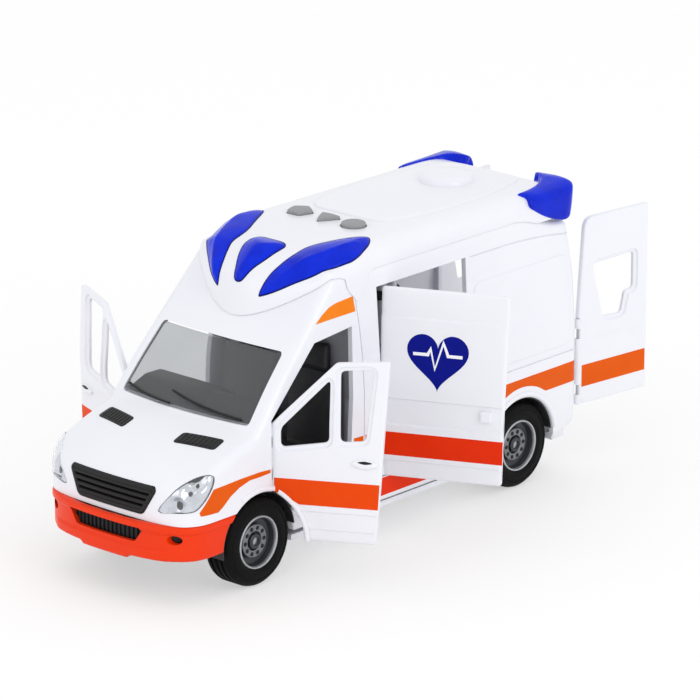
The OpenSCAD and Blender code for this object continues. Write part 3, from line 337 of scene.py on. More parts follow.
# outer form of the roof cap: a boat-shaped cover with a rounded nose that droops onto the brow
capHalf = van["halfWidth"] - van["lean"]
lipZ = van["seamZ"] - 18.5
capNoseX = screenX(lipZ)
capRear = roundedLoop([(0, capHalf), (van["rearX"], capHalf), (van["rearX"], 0)], (0, 12, 0), 10)
capBow = np.stack([capNoseX - van["capNose"] * (1 - np.cos(quarterTurn)), capHalf * np.sin(quarterTurn)], 1)
capPlan = bothHalves(np.concatenate([capBow, capRear[1:-1]]))
capSide = np.concatenate([
    [(van["rearX"], 96), (capNoseX, 96)],
    bend((capNoseX - 0.5, lipZ + 7), (capNoseX - 2.4, van["capTop"]), (capNoseX - 50, van["capTop"]), 24),
    bend((van["rearX"] + 20, van["capTop"] - 0.2), (van["rearX"] + 2, van["capTop"] - 1),
         (van["rearX"], van["capTop"] - 12.5), 10)])
capSection = bothHalves(np.concatenate([
    [(capHalf, 90), (capHalf, van["seamZ"])],
    bend((capHalf, van["seamZ"] + 1), (capHalf - 1.6, van["capTop"] - 0.4),
         (capHalf - 15, van["capTop"] + 0.2), 12),
    [(8, van["capTop"] + 0.6)]]), (-1, 1))
# a thin brim on the brow, under the nose of the cap
brimHalf = [(-30.2, 0), (-30.8, 5), (-32.8, 11), (-36.4, 19), (-42.2, 30.3), (-47.5, 36.5), (-53, 38.8),
            (-60, 39), (-67, 38), (-72, 33), (-76, 20)]
brimPlan = splineLoop([(x, -y) for x, y in brimHalf[:0:-1]] + brimHalf, 6)


def capForm(p):
    around = np.maximum(outlineDistance(p[:, :2], capPlan), outlineDistance(p[:, 1:], capSection))
    share = np.minimum(np.abs(p[:, 1]) / capHalf, 1.0) ** 2
    # the nose falls away to both sides
    sweep = van["capSweep"] * share * smoothStep(-100, -60, p[:, 0])
    dome = softMax([outlineDistance(np.stack([p[:, 0] + sweep, p[:, 2]], 1), capSide), around],
                   van["capEdge"])
    brim = softMax([outlineDistance(p[:, :2], brimPlan), bodyForm(p) - van["brimLift"]], van["brimEdge"])
    return -softMax([-dome, -brim], van["capBlend"])


# meshes from forms
def lookAxes(look):
    # directions across and up, as seen along look
    look = np.array(look, float) / np.linalg.norm(look)
    up = np.array((0, 1, 0) if abs(look[2]) > 0.9 else (0, 0, 1), float)
    up = up - look * (up @ look)
    up /= np.linalg.norm(up)
    return np.cross(up, look), up, look


def firstHit(form, start, look, reach=520, steps=34):
    # steps along each ray by the distance still to go, and keeps the nearest approach
    depth = np.zeros(len(start))
    best, bestGap = depth.copy(), np.full(len(start), 1e9)
    for _ in range(steps):
        gap = form(start + look * depth[:, None])
        nearer = np.abs(gap) < bestGap
        best, bestGap = np.where(nearer, depth, best), np.where(nearer, np.abs(gap), bestGap)
        depth = np.minimum(depth + 0.85 * gap, reach)
    return start + look * best[:, None]


def formNormal(form, p, step=0.15):
    slope = np.stack([form(p + step * e) - form(p - step * e) for e in np.eye(3)], 1)
    return slope / (np.linalg.norm(slope, axis=1, keepdims=True) + 1e-12)


def smooth(obj):
    obj.data.polygons.foreach_set("use_smooth", [True] * len(obj.data.polygons))
    obj.data.set_sharp_from_angle(angle=math.radians(38))


def meshObject(name, verts, faces, material):
    # verts in millimetres from the front axle; the object stays at the origin
    mesh = bpy.data.meshes.new(name)
    verts = (np.asarray(verts, float) + (axleX, 0, 0)) * mm
    mesh.from_pydata(verts.tolist(), [], [list(map(int, f)) for f in faces])
    bm = bmesh.new()
    bm.from_mesh(mesh)
    bmesh.ops.remove_doubles(bm, verts=bm.verts, dist=1e-6)
    bmesh.ops.recalc_face_normals(bm, faces=bm.faces)
    bm.to_mesh(mesh)
    bm.free()
    obj = bpy.data.objects.new(name, mesh)
    bpy.context.scene.collection.objects.link(obj)
    if material:
        mesh.materials.append(material)
    smooth(obj)
    return obj


def applyAll(obj):
    # bakes the modifiers into the mesh
    bpy.context.view_layer.update()
    graph = bpy.context.evaluated_depsgraph_get()
    made = bpy.data.meshes.new_from_object(obj.evaluated_get(graph))
    obj.modifiers.clear()
    obj.data = made
    return obj


def settle(obj, body, replaces=()):
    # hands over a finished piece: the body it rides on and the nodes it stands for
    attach(obj, body)
    if replaces:
        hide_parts(*replaces)
    return obj


def castForm(name, form, lines, coreLow, coreHigh):
    # a closed mesh of a form: the grid lines of its box are drawn in along rays from a core
    points, faces = [], []
    for axis in range(3):
        others = [i for i in range(3) if i != axis]
        u, v = (lines[i] for i in others)
        for end in (0, -1):
            grid = np.zeros((len(u), len(v), 3))
            grid[..., others[0]], grid[..., others[1]] = np.meshgrid(u, v, indexing="ij")
            grid[..., axis] = lines[axis][end]
            first = sum(len(p) for p in points)
            index = first + np.arange(len(u) * len(v)).reshape(len(u), len(v))
            points.append(grid.reshape(-1, 3))
            corners = index[:-1, :-1], index[1:, :-1], index[1:, 1:], index[:-1, 1:]
            faces.append(np.stack(corners, -1).reshape(-1, 4))
    p = np.concatenate(points)
    core = np.clip(p, coreLow, coreHigh)
    low, high = np.zeros(len(p)), np.full(len(p), 1.15)
    for _ in range(20):
        mid = (low + high) / 2
        inside = form(core + (p - core) * mid[:, None]) <= 0
        low, high = np.where(inside, mid, low), np.where(inside, high, mid)
    return meshObject(name, core + (p - core) * low[:, None], np.concatenate(faces), None)


def prism(outline, look, near, far):
    # a closed cutter: outline points in space, drawn along look from near to far
    across, up, look = lookAxes(look)
    flat = np.stack([np.asarray(outline) @ across, np.asarray(outline) @ up], 1)
    ring = flat[:, :1] * across + flat[:, 1:] * up
    n = len(ring)
    faces = [list(range(n)), list(range(2 * n - 1, n - 1, -1))]
    faces += [[i, (i + 1) % n, n + (i + 1) % n, n + i] for i in range(n)]
    return meshObject("cutter", np.concatenate([ring + look * near, ring + look * far]), faces, None)


def carve(obj, cutters, material):
    for cutter in cutters:
        cut = obj.modifiers.new("cut", "BOOLEAN")
        cut.object, cut.operation, cut.solver = cutter, "DIFFERENCE", "MANIFOLD"
    applyAll(obj)
    for cutter in cutters:
        bpy.data.objects.remove(cutter)
    obj.data.materials.clear()
    obj.data.materials.append(material)
    obj.data.polygons.foreach_set("material_index", [0] * len(obj.data.polygons))
    smooth(obj)
    return obj


def slab(name, profile, y0, y1, material, edge):
    # a side profile drawn across the van, with rounded edges
    obj = prism(side(profile), fromLeft, -y1, -y0)
    obj.name = obj.data.name = name
    if edge:
        soft = obj.modifiers.new("edge", "BEVEL")
        soft.width, soft.segments = edge * mm, 3
        soft.limit_method, soft.angle_limit = "ANGLE", math.radians(20)
        applyAll(obj)
    obj.data.materials.append(material)
    smooth(obj)
    return obj


def side(points):
    # outline seen from the left: (x, z) pairs
    return np.array([(x, 0, z) for x, z in points], float)


def front(points):
    return np.array([(0, y, z) for y, z in points], float)


def plan(points):
    return np.array([(x, y, 0) for x, y in points], float)


fromLeft, fromRight, fromFront, fromTop, fromBehind = (0, -1, 0), (0, 1, 0), (-1, 0, 0), (0, 0, -1), (1, 0, 0)
sideLooks = {"left": fromLeft, "right": fromRight}


def offsetLoop(loop, inward):
    # moves a counter-clockwise loop to its left by that much
    edge = np.roll(loop, -1, 0) - loop
    edge /= np.linalg.norm(edge, axis=1, keepdims=True) + 1e-12
    left = np.stack([-edge[:, 1], edge[:, 0]], 1)
    both = left + np.roll(left, 1, 0)
    return loop + inward * both / np.maximum((both ** 2).sum(1, keepdims=True) / 2, 0.7)


def divided(loop, spacing):
    made = []
    for a, b in zip(loop, np.roll(loop, -1, 0)):
        count = max(1, int(np.ceil(np.linalg.norm(b - a) / spacing)))
        made += [a + (b - a) * i / count for i in range(count)]
    made = np.array(made)
    return made[np.linalg.norm(made - np.roll(made, 1, 0), axis=1) > 0.02]


def turned(loop, sign):
    # a loop that runs counter-clockwise for a sign of 1, and clockwise for -1
    area = (loop[:, 0] * np.roll(loop[:, 1], -1) - loop[:, 1] * np.roll(loop[:, 0], -1)).sum()
    return loop if area * sign > 0 else loop[::-1]


def skinPanel(name, form, look, outline, material, size, holes=(), place=None):
    # a plate that lies on a form: its outline is seen along look, and its rim falls away in a round edge
    # size: spacing of its points, thickness, lift above the form, run and drop of the rim
    across, up, look = lookAxes(look)
    flatten = lambda p: np.stack([np.asarray(p) @ across, np.asarray(p) @ up], 1)
    rims = [turned(divided(flatten(outline), size["spacing"]), 1)]
    if "grow" in size:
        rims[0] = offsetLoop(rims[0], -size["grow"])
    rims += [turned(divided(flatten(h), size["spacing"]), -1) for h in holes]
    run, drop = size.get("run", 0.5), size.get("drop", 0.5)
    loops = [offsetLoop(r, run * k) for r in rims for k in (0, 0.1, 0.4, 1.0)]
    low, high = rims[0].min(0), rims[0].max(0)
    grid = np.stack(np.meshgrid(*[np.arange(low[i], high[i], size["spacing"]) for i in (0, 1)],
                                indexing="ij"), -1)
    grid = grid.reshape(-1, 2)

    def edgeGap(p):
        return np.minimum.reduce([-outlineDistance(p, rims[0])] + [outlineDistance(p, r) for r in rims[1:]])

    grid = grid[edgeGap(grid) > run + 0.45 * size["spacing"]]
    marks = [divided(flatten(m), 1.1) for m in size.get("marks", ())]
    if marks:
        marks = np.concatenate(marks)
        marks = marks[edgeGap(marks) > run + 0.15]
        apart = [((grid[i:i + 500, None] - marks) ** 2).sum(2).min(1) for i in range(0, len(grid), 500)]
        grid = grid[np.concatenate(apart) > 0.3]
    flat = np.concatenate(loops + [grid] + ([marks] if len(marks) else []))
    edges, first = [], 0
    for loop in loops:
        edges += [(first + i, first + (i + 1) % len(loop)) for i in range(len(loop))]
        first += len(loop)
    made = delaunay_2d_cdt([Vector(p) for p in flat], edges, [], 0, 1e-5)
    flat = np.array([tuple(v) for v in made[0]])
    triangles = np.array(made[2])
    triangles = triangles[edgeGap(flat[triangles].mean(1)) > -1e-4]
    gap = np.clip(edgeGap(flat) / run, 0, 1)
    fall = drop * (1 - np.sqrt(np.maximum(0, 1 - (1 - gap) ** 2)))
    start = flat[:, :1] * across + flat[:, 1:] * up - look * 260
    hit = firstHit(form, start, look)
    normal = formNormal(form, hit, size.get("probe", 0.15))
    lift = np.full(len(hit), size.get("lift", 0.0))
    if "relief" in size:
        lift += size["relief"](hit)
    if "crown" in size:
        climb = np.clip(edgeGap(flat) / size["crownWidth"], 0, 1)
        lift += size["crown"] * (0.45 * np.sin(climb * math.pi / 2) + 0.55 * climb)
    top = hit + normal * (lift - fall)[:, None]
    bottom = hit + normal * (size.get("lift", 0) - size["thickness"])
    used = dict.fromkeys((a, b) for tri in triangles for a, b in zip(tri, np.roll(tri, -1)))
    n = len(flat)
    walls = [(a, b, b + n, a + n) for (a, b) in used if (b, a) not in used]
    verts = np.concatenate([top, bottom])
    if place:
        verts = place(verts)
    faces = [tuple(t) for t in triangles] + [tuple(t[::-1] + n) for t in triangles] + walls
    keep = np.unique(np.concatenate([np.array(f) for f in faces]))
    renumber = np.full(2 * n, -1)
    renumber[keep] = np.arange(len(keep))
    return meshObject(name, verts[keep], [[renumber[i] for i in f] for f in faces], material)


def joined(name, objects):
    # one piece from several meshes
    bpy.ops.object.select_all(action="DESELECT")
    for obj in objects:
        obj.select_set(True)
    bpy.context.view_layer.objects.active = objects[0]
    bpy.ops.object.join()
    objects[0].name = name
    objects[0].data.name = name
    return objects[0]


def trim(name, form, look, outline, finish, size, body, place=None):
    # a thin plate that is a piece by itself
    return settle(skinPanel(name, form, look, outline, finishes[finish], size, place=place), body)


def lathe(name, profile, material, segments, place):
    # turns (radius, height) pairs about the z axis
    profile = np.array(profile, float)
    verts = np.array([(r * math.cos(a), r * math.sin(a), h) for a in wholeTurn(segments) for r, h in profile])
    n = len(profile)
    faces = [(i * n + k, i * n + k + 1, ((i + 1) % segments) * n + k + 1, ((i + 1) % segments) * n + k)
             for i in range(segments) for k in range(n - 1)]
    return meshObject(name, place(verts), faces, material)


def tube(name, path, radius, material, sides):
    # a round wire along given points
    path = np.array(path, float)
    tangent = np.gradient(path, axis=0)
    tangent /= np.linalg.norm(tangent, axis=1, keepdims=True)
    first = np.cross(tangent, (0.3, 0.2, 1.0))
    first /= np.linalg.norm(first, axis=1, keepdims=True)
    second = np.cross(tangent, first)
    ring = wholeTurn(sides)[None, :, None]
    verts = path[:, None] + radius * (np.cos(ring) * first[:, None] + np.sin(ring) * second[:, None])
    faces = [(i * sides + k, i * sides + (k + 1) % sides, (i + 1) * sides + (k + 1) % sides,
              (i + 1) * sides + k)
             for i in range(len(path) - 1) for k in range(sides)]
    faces += [tuple(range(sides))[::-1], tuple(range((len(path) - 1) * sides, len(path) * sides))]
    return meshObject(name, verts.reshape(-1, 3), faces, material)


def swung(jointName):
    # takes points of a closed door to its place at rest, about the hinge in the frame
    joint = joints[jointName]
    centre = np.array(joint["pos_m"]) / mm - (axleX, 0, 0)
    turn = np.array(Matrix.Rotation(math.radians(-joint["range_deg"][0]), 3, Vector(joint["axis"])))
    return lambda p: (np.asarray(p) - centre) @ turn.T + centre


def softened(node, material, width, body):
    # a copy of a solid with its edges rounded
    source = frame["nodes"][node]
    obj = bpy.data.objects.new(node + "_shaped", source.data.copy())
    bpy.context.scene.collection.objects.link(obj)
    bm = bmesh.new()
    bm.from_mesh(obj.data)
    bmesh.ops.remove_doubles(bm, verts=bm.verts, dist=2e-6)
    bmesh.ops.dissolve_limit(bm, angle_limit=math.radians(1), verts=bm.verts, edges=bm.edges)
    bm.to_mesh(obj.data)
    bm.free()
    edge = obj.modifiers.new("edge", "BEVEL")
    edge.width, edge.segments, edge.limit_method, edge.angle_limit = width * mm, 2, "ANGLE", math.radians(35)
    applyAll(obj)
    obj.data.materials.clear()
    obj.data.materials.append(material)
    smooth(obj)
    return settle(obj, body, [node])


# rows of slats, and rings of black dots that are painted shade for holes: node trees that repeat one mesh
def repeatTree(name, kinds, material, build):
    # build makes the points and the mesh that is repeated on them from the inputs of the tree
    tree = bpy.data.node_groups.new(name, "GeometryNodeTree")
    sockets = {key: tree.interface.new_socket(name=key, in_out="INPUT", socket_type="NodeSocket" + kind)
               for key, kind in kinds.items()}
    tree.interface.new_socket(name="Geometry", in_out="OUTPUT", socket_type="NodeSocketGeometry")
    points, copy = build(tree, addNode(tree, "NodeGroupInput").outputs)
    spread = addNode(tree, "GeometryNodeInstanceOnPoints",
                     {"Points": points.outputs["Mesh"], "Instance": copy.outputs["Mesh"]})
    real = addNode(tree, "GeometryNodeRealizeInstances", {"Geometry": spread.outputs["Instances"]})
    painted = addNode(tree, "GeometryNodeSetMaterial",
                      {"Geometry": real.outputs["Geometry"], "Material": material})
    addNode(tree, "NodeGroupOutput", {"Geometry": painted.outputs["Geometry"]})
    return tree, {key: socket.identifier for key, socket in sockets.items()}


def slatParts(tree, given):
    step = addNode(tree, "ShaderNodeCombineXYZ", {"X": given["Spacing"]})
    row = addNode(tree, "GeometryNodeMeshLine", {"Count": given["Count"], "Offset": step.outputs["Vector"]},
                  mode="OFFSET")
    size = addNode(tree, "ShaderNodeCombineXYZ", {"X": given["Width"], "Y": given["Length"], "Z": 1.0})
    bar = addNode(tree, "GeometryNodeMeshCube",
                  {"Size": size.outputs["Vector"], "Vertices X": 6, "Vertices Y": 25})
    return row, bar


slatInputs = {"Count": "Int", "Spacing": "Float", "Length": "Float", "Width": "Float"}
slatTree, slatKeys = repeatTree("slat_row", slatInputs, finishes["blackAbs"], slatParts)


def fromTree(name, group, keys, inputs):
    # the evaluated result of a node tree as a plain mesh
    holder = bpy.data.objects.new(name, bpy.data.meshes.new(name))
    bpy.context.scene.collection.objects.link(holder)
    made = holder.modifiers.new(name, "NODES")
    made.node_group = group
    for key, socket in keys.items():
        made[socket] = inputs[key]
    return applyAll(holder)


def placeVerts(obj, verts):
    obj.data.vertices.foreach_set("co", ((verts + (axleX, 0, 0)) * mm).ravel())
    smooth(obj)
    return obj


def slatRow(form, look, spread, row):
    # spread takes places across and along the row to points of the outline; each bar has a round face
    holder = fromTree("slats", slatTree, slatKeys, row)
    co = np.array([v.co[:] for v in holder.data.vertices])
    across = (co[:, 0] + row["Spacing"] / 2) % row["Spacing"] - row["Spacing"] / 2
    height = np.where(co[:, 2] > 0, row["top"] - row["round"] * (2 * across / row["Width"]) ** 2, row["foot"])
    aim = np.array(look, float)
    start = spread(co[:, 0] - row["Spacing"] * (row["Count"] - 1) / 2, co[:, 1]) - aim * 260
    hit = firstHit(form, start, aim)
    return placeVerts(holder, hit + formNormal(form, hit) * height[:, None])


# body shell
def lineSet(*runs):
    # grid lines: (from, to, spacing) runs put end to end
    counts = [max(2, int(round(abs(b - a) / s)) + 1) for a, b, s in runs]
    return np.unique(np.concatenate([np.linspace(a, b, n) for (a, b, s), n in zip(runs, counts)]))


bodyLines = (lineSet((-213, -185, 2), (-185, -50, 3), (-50, 54, 2)),
             lineSet((-46, -30, 1.6), (-30, 30, 3), (30, 46, 1.6)),
             lineSet((14, 48, 2), (48, 74, 0.7), (74, 116, 2), (116, 128, 1.2)))
coreLow, coreHigh = (-195, -20, 40), (-45, 20, 105)
body = castForm("body_moulding", bodyForm, bodyLines, coreLow, coreHigh)
bodyVoid = castForm("cutter", lambda p: bodyForm(p) + van["wall"], bodyLines, coreLow, coreHigh)


def box(low, high):
    corners = [(x, y, z) for x in (low[0], high[0]) for y in (low[1], high[1]) for z in (low[2], high[2])]
    faces = [(0, 1, 3, 2), (4, 6, 7, 5), (0, 4, 5, 1), (2, 3, 7, 6), (0, 2, 6, 4), (1, 5, 7, 3)]
    return meshObject("cutter", corners, faces, None)


def arc(centre, radius, start, end, steps=24):
    return [(centre[0] + radius * math.cos(a), centre[1] + radius * math.sin(a))
            for a in np.radians(np.linspace(start, end, steps))]


def archCut(x):
    return prism(side(arc((x, wheelR), van["archR"], 0, 352.5, 48)), fromLeft, -60, 60)


def bothSides(outline, near, far, look=fromLeft):
    # the same cut on the left and on the right
    return [prism(np.asarray(outline) * flip, np.array(look) * flip, near, far)
            for flip in ((1, 1, 1), (1, -1, 1))]


doorShapes = {
    "frontHole": [(-54.4, -1), (0, -1), (-6.9, 37.1), (-6.9, 72), (-36, 99), (-59.9, 101)],
    "front": [(-53.9, 17.8)] + arc((0, wheelR), 23, 184.5, 116.9, 16) + [
        (-8.9, 41.1), (-8.9, 69.4), (-8, 69.8), (-36.4, 98.5), (-59.4, 100.5)],
    "quarterLight": [(-33.5, 63.6), (-12.5, 60), (-12.5, 68.5), (-33.8, 91)],
    "doorLight": [(-49.3, 65.2), (-38.3, 64), (-38.1, 95.1), (-52.7, 96.3)],
    "sideHole": [(-132.5, 29.1), (-76.5, 29.1), (-76.5, 114.5), (-134.9, 114.5)],
    "side": [(-132, 29.6), (-78.5, 29.6), (-78.5, 69.4), (-77.6, 69.8), (-77.6, 114), (-134.4, 114)],
    "rearHole": [(-37.7, 30.5), (37.7, 30.5), (37.7, 114.5), (-37.7, 114.5)],
    "rear": [(0.25, 29), (41.7, 29), (41.7, 69.4), (42.7, 69.8), (39.2, 116), (0.25, 116)],
    "rearLight": [(8.3, 77.3), (13.3, 77), (15.6, 67), (26.8, 67.6), (33.5, 93.4), (8.3, 94.4)],
    "screen": [(-37, 70.2), (37, 70.2), (34.9, 96.9), (-34.9, 96.9)],
    "grille": [(-19, 38.6), (19, 38.6), (25, 49.6), (24, 51.6), (-24, 51.6), (-25, 49.6)],
    "vent": [(11.2, 33.2), (16.4, 14.6), (23.4, 14.8), (18.5, 33.8)],
    "lamp": [(45.3, 26.9, 41.9), (43.2, 32.5, 49.9), (39.7, 35.1, 53.5), (35, 38.2, 56.2), (30.9, 41.1, 57.4),
             (28.2, 42.8, 56.6), (28.1, 43.2, 54.6), (29.6, 43.2, 51.2), (33.4, 43.2, 47.2),
             (37.9, 42.6, 43.9), (41.3, 40.8, 43), (44, 34.9, 42.3)],
}
lampLook = (-0.75, -0.62, -0.22)
lampLoop = splineLoop(doorShapes["lamp"], 3)
grilleLoop = roundedLoop(doorShapes["grille"], 2.2)
ventLoop = roundedLoop(doorShapes["vent"], 1.6)
cuts = [bodyVoid, box((van["rearX"] + 5, -38, 8), (8, 38, 26)), box((11.2, -60, 8), (70, 60, 36.5)),
        archCut(0), archCut(-wheelbase),
        prism(front(roundedLoop(doorShapes["screen"], 2)), fromFront, -40, 44),
        prism(front(grilleLoop), fromFront, -70, -38)]
cuts += bothSides(plan(ventLoop), -90, -56, fromTop)
cuts += bothSides(lampLoop, -85, -50, lampLook)
cuts += bothSides(side(doorShapes["frontHole"]), -60, -34)
cuts += [prism(side(doorShapes["sideHole"]), fromLeft, -60, -34),
         prism(front(roundedLoop(doorShapes["rearHole"], 3)), fromBehind, -220, -195)]


def groove(path, look, width=0.7, depth=0.55):
    # a shallow channel in the body's side along (x, z) points
    path = np.array(path, float)
    tangent = np.gradient(path, axis=0)
    tangent /= np.linalg.norm(tangent, axis=1, keepdims=True)
    across = np.stack([-tangent[:, 1], tangent[:, 0]], 1) * width / 2
    outline = side(np.concatenate([path + across, (path - across)[::-1]]))
    size = {"spacing": 2.5, "thickness": depth + 1, "lift": 1.0, "run": width / 9, "drop": 0}
    return skinPanel("cutter", bodyForm, look, outline, None, size)


def dense(points, spacing=2.5):
    # an open line with more points
    made = [np.array(points[0], float)]
    for a, b in zip(points[:-1], points[1:]):
        a, b = np.array(a, float), np.array(b, float)
        count = max(1, int(np.linalg.norm(b - a) / spacing))
        made += [a + (b - a) * (i + 1) / count for i in range(count)]
    return np.array(made)


pillarJoint = [(-61.3, 122.5), (-62.2, 119), (-62.8, 113), (-64.6, 98.8), (-65.4, 86), (-65.4, 19)]
quarterCrease = [(-137.5, 114.2), (-164, 114.2), (-178, 113.6), (-191, 112.4), (-205.5, 110.4)]
lowCrease = [(-137.5, 56.5), (-205.5, 56.5)]
for look in (fromLeft, fromRight):
    cuts += [groove(dense(p), look) for p in (pillarJoint, quarterCrease, lowCrease)]
carve(body, cuts, finishes["whiteAbs"])
settle(body, "van", ["body_shell"])
print("body shell:", len(body.data.polygons), "faces")

# roof cap, cut off just above the body so that a seam shows
capLines = (lineSet((-213, -185, 1.5), (-185, -80, 3), (-80, -26, 1.5)),
            lineSet((-42, -24, 1.2), (-24, 24, 3), (24, 42, 1.2)), lineSet((94, 112, 2), (112, 137, 1)))
cap = castForm("roof_cap_moulding", capForm, capLines, (-190, -18, 100), (-85, 18, 126))
seam = castForm("cutter", lambda p: bodyForm(p) - 0.3, bodyLines, coreLow, coreHigh)
buttonShapes = {
    "round": (15.5, spokes(5.5, wholeTurn(40))),
    "triangle": (0.0, roundedLoop(spokes(6.7, np.radians((0, 120, 240))), 1.7)),
    "pentagon": (-15.5, roundedLoop(spokes(6.2, np.radians((36, 108, 180, 252, 324))), 0.9)),
}
buttonX, buttonTop, holeRoom = -89.1, 136.2, 1.07
keyHoles = [prism(plan(loop * holeRoom + (buttonX, offset)), fromTop, -145, -128)
            for offset, loop in buttonShapes.values()]
carve(cap, [seam, box((-230, -60, 60), (40, 60, 100)), box((-230, -60, 90), (-100, 60, 119))] + keyHoles,
      finishes["whiteAbs"])
settle(cap, "van", ["roof_cap"])
print("roof cap:", len(cap.data.polygons), "faces")

# raised field of the roof around the buttons, the button caps and a low dome
fieldCorners = [(-99, -20), (-99, 20), (-120, 27), (-160, 28), (-196, 22), (-196, -22), (-160, -28),
                (-120, -27)]
trim("roof_plateau", capForm, fromTop, plan(roundedLoop(fieldCorners, 9)), "whiteAbs",
     {"spacing": 3.0, "thickness": 1.2, "lift": 0.9, "run": 2.2, "drop": 0.8}, "van")
buttonSize = {"spacing": 1.0, "thickness": 3.4, "run": 0.8, "drop": 0.7}
for key, (offset, loop) in buttonShapes.items():
    def crowned(p, offset=offset):
        return p[:, 2] - (buttonTop - ((p[:, 0] - buttonX) ** 2 + (p[:, 1] - offset) ** 2) / 90)

    button = skinPanel(key + "_button_cap", crowned, fromTop, plan(loop + (buttonX, offset)),
                       finishes["buttonRubber"], buttonSize)
    settle(button, key + "_key", [key + "_button"])
domeProfile = [(0, 3.7), (6, 3.6), (9.2, 3.3), (10.8, 2.7), (11.8, 1.6), (12.1, 0.2), (12.1, -1), (0, -1)]
dome = lathe("roof_dome", domeProfile, finishes["whiteAbs"], 64, lambda p: p + (-168, 0, van["capTop"] + 0.6))
settle(dome, "van")

# beacon lenses: clear blue covers with a soft ridge, each over a dark tray of painted shade that shows as a
# thin line around it and darkens it
lensSize = {"spacing": 0.9, "thickness": 2.2, "lift": 0.3, "run": 1.0, "drop": 0.8,
            "crown": 2.8, "crownWidth": 9.5, "probe": 3.0}
shadeTraySize = {"spacing": 1.6, "thickness": 1.0, "lift": 0.25, "run": 0.3, "drop": 0.2}
rearLensHalf, rearLensEnd = 39.7, van["rearX"] - 1.2
rearLensPlan = roundedLoop([(-150, -rearLensHalf), (-150, rearLensHalf), (rearLensEnd, rearLensHalf),
                            (rearLensEnd, -rearLensHalf)], (0, 7, 7, 0), 8)
rearLensSide = [(-150, 100), (-150, 134.4), (-176, 134.4), (-190, 135.6), (-203, 135.4), (-208.6, 133.4),
                (-210.9, 130.4), (-206.4, 113), (-206, 100)]
rearLensSection = bothHalves([(rearLensHalf, 100), (rearLensHalf, 128.6), (38.6, 131.2), (35.4, 132.8),
                              (29, 134.6), (20, 136), (0, 136.6)], (-1, 1))


def rearLensForm(p):
    around = np.maximum(outlineDistance(p[:, :2], rearLensPlan), outlineDistance(p[:, 1:], rearLensSection))
    return softMax([outlineDistance(p[:, [0, 2]], rearLensSide), around], 1.2)


lensShapes = {
    "front_left": (capForm, (-0.45, -0.45, -0.77), [
        (-33, 12, 114.9), (-34.5, 12.6, 118.6), (-38.3, 13.8, 123.3), (-43, 15.6, 127.1),
        (-48.1, 17.1, 129.8), (-55.2, 17.6, 131.6), (-60.4, 19, 132.5), (-66.5, 21.9, 133.3),
        (-73.3, 25.1, 133.8), (-79.1, 28.3, 133.8), (-81.4, 30.9, 133.5), (-79.8, 33.3, 132.9),
        (-76.6, 35.2, 131.9), (-72.6, 36.5, 130.9), (-68.2, 37.8, 129.8), (-63.6, 38.1, 128.5),
        (-59.1, 37.1, 127.7), (-53.2, 35.5, 126.8), (-46.7, 31.4, 124.4), (-41.9, 25.9, 121.4),
        (-37.6, 20.6, 118.3), (-35.1, 16.7, 116.3), (-33.5, 13.5, 115)]),
    "rear_left": (rearLensForm, (0.42, -0.66, -0.62), [
        (-176.8, 33.6, 132.9), (-184.8, 33.3, 133.6), (-192.5, 32, 134.2), (-199.4, 28.6, 134.8),
        (-203.4, 24, 135.2), (-206.5, 20.2, 134.6), (-210.3, 20, 128), (-210.3, 26, 118.5),
        (-209.4, 34, 116.6), (-205, 39, 116.4), (-198.5, 39.4, 117.4), (-190, 39.4, 120.6),
        (-183, 39.4, 124.4), (-179, 39.2, 127.2), (-178.9, 38.2, 129.6), (-178.9, 36, 131.6)]),
    "centre": (capForm, (-0.6, 0, -0.8), [
        (-33, -2, 119.3), (-36.6, -4.6, 124.2), (-42.2, -7.8, 128.1), (-48.2, -9.6, 130.7),
        (-52.2, -9.4, 131.9), (-54.4, -6.4, 132.4), (-54.6, 0, 132.4), (-54.4, 6.4, 132.4),
        (-52.2, 9.4, 131.9), (-48.2, 9.6, 130.7), (-42.2, 7.8, 128.1), (-36.6, 4.6, 124.2), (-33, 2, 119.3)]),
}
crest = np.array([(-35.8, 16), (-38.1, 18.5), (-44.6, 23.4), (-54.6, 28.1), (-62.3, 30.3), (-72.1, 33.1)])
crestBand = np.concatenate([crest + (0, 0.15), crest[::-1] - (0, 0.15)])


def crestRelief(p):
    # a fine raised line along the ridge of the front lenses
    return 0.35 * smoothStep(1.1, 0.1, outlineDistance(np.stack([p[:, 0], np.abs(p[:, 1])], 1), crestBand))


# the rear lenses keep out of the doorway
rearRoom = (van["rearX"] + 0.5, -37.6, 90), (-150, 37.6, 122)
for key, (form, look, points) in lensShapes.items():
    rear = key == "rear_left"
    cover = dict(lensSize, thickness=5.5, crown=1.0) if rear else dict(lensSize, relief=crestRelief)
    shadeTray = dict(shadeTraySize, grow=-0.4 if rear else 0.22, thickness=cover["thickness"] - 0.6)
    for hand in ["left"] if key == "centre" else hands:
        name = key.replace("left", hand)
        flip = np.array((1, hands[hand], 1))
        loop = splineLoop(np.array(points) * flip, 4)
        # the tray under each cover is painted shade: a dark sheet for the shaded rim and depth of the lens
        parts = {"cover": ("blueLens", cover, "blue_lens", [name + "_beacon_lens"]),
                 "shadeTray": ("navyShadeTray", shadeTray, "black_abs", ())}
        for part, (finish, size, slot, nodes) in parts.items():
            made = skinPanel("%s_beacon_%s" % (name, part), form, np.array(look) * flip, loop,
                             finishes[finish], size)
            if rear:
                carve(made, [box(*rearRoom)], finishes[finish])
            settle(made, "van", nodes)
print("roof fittings done")

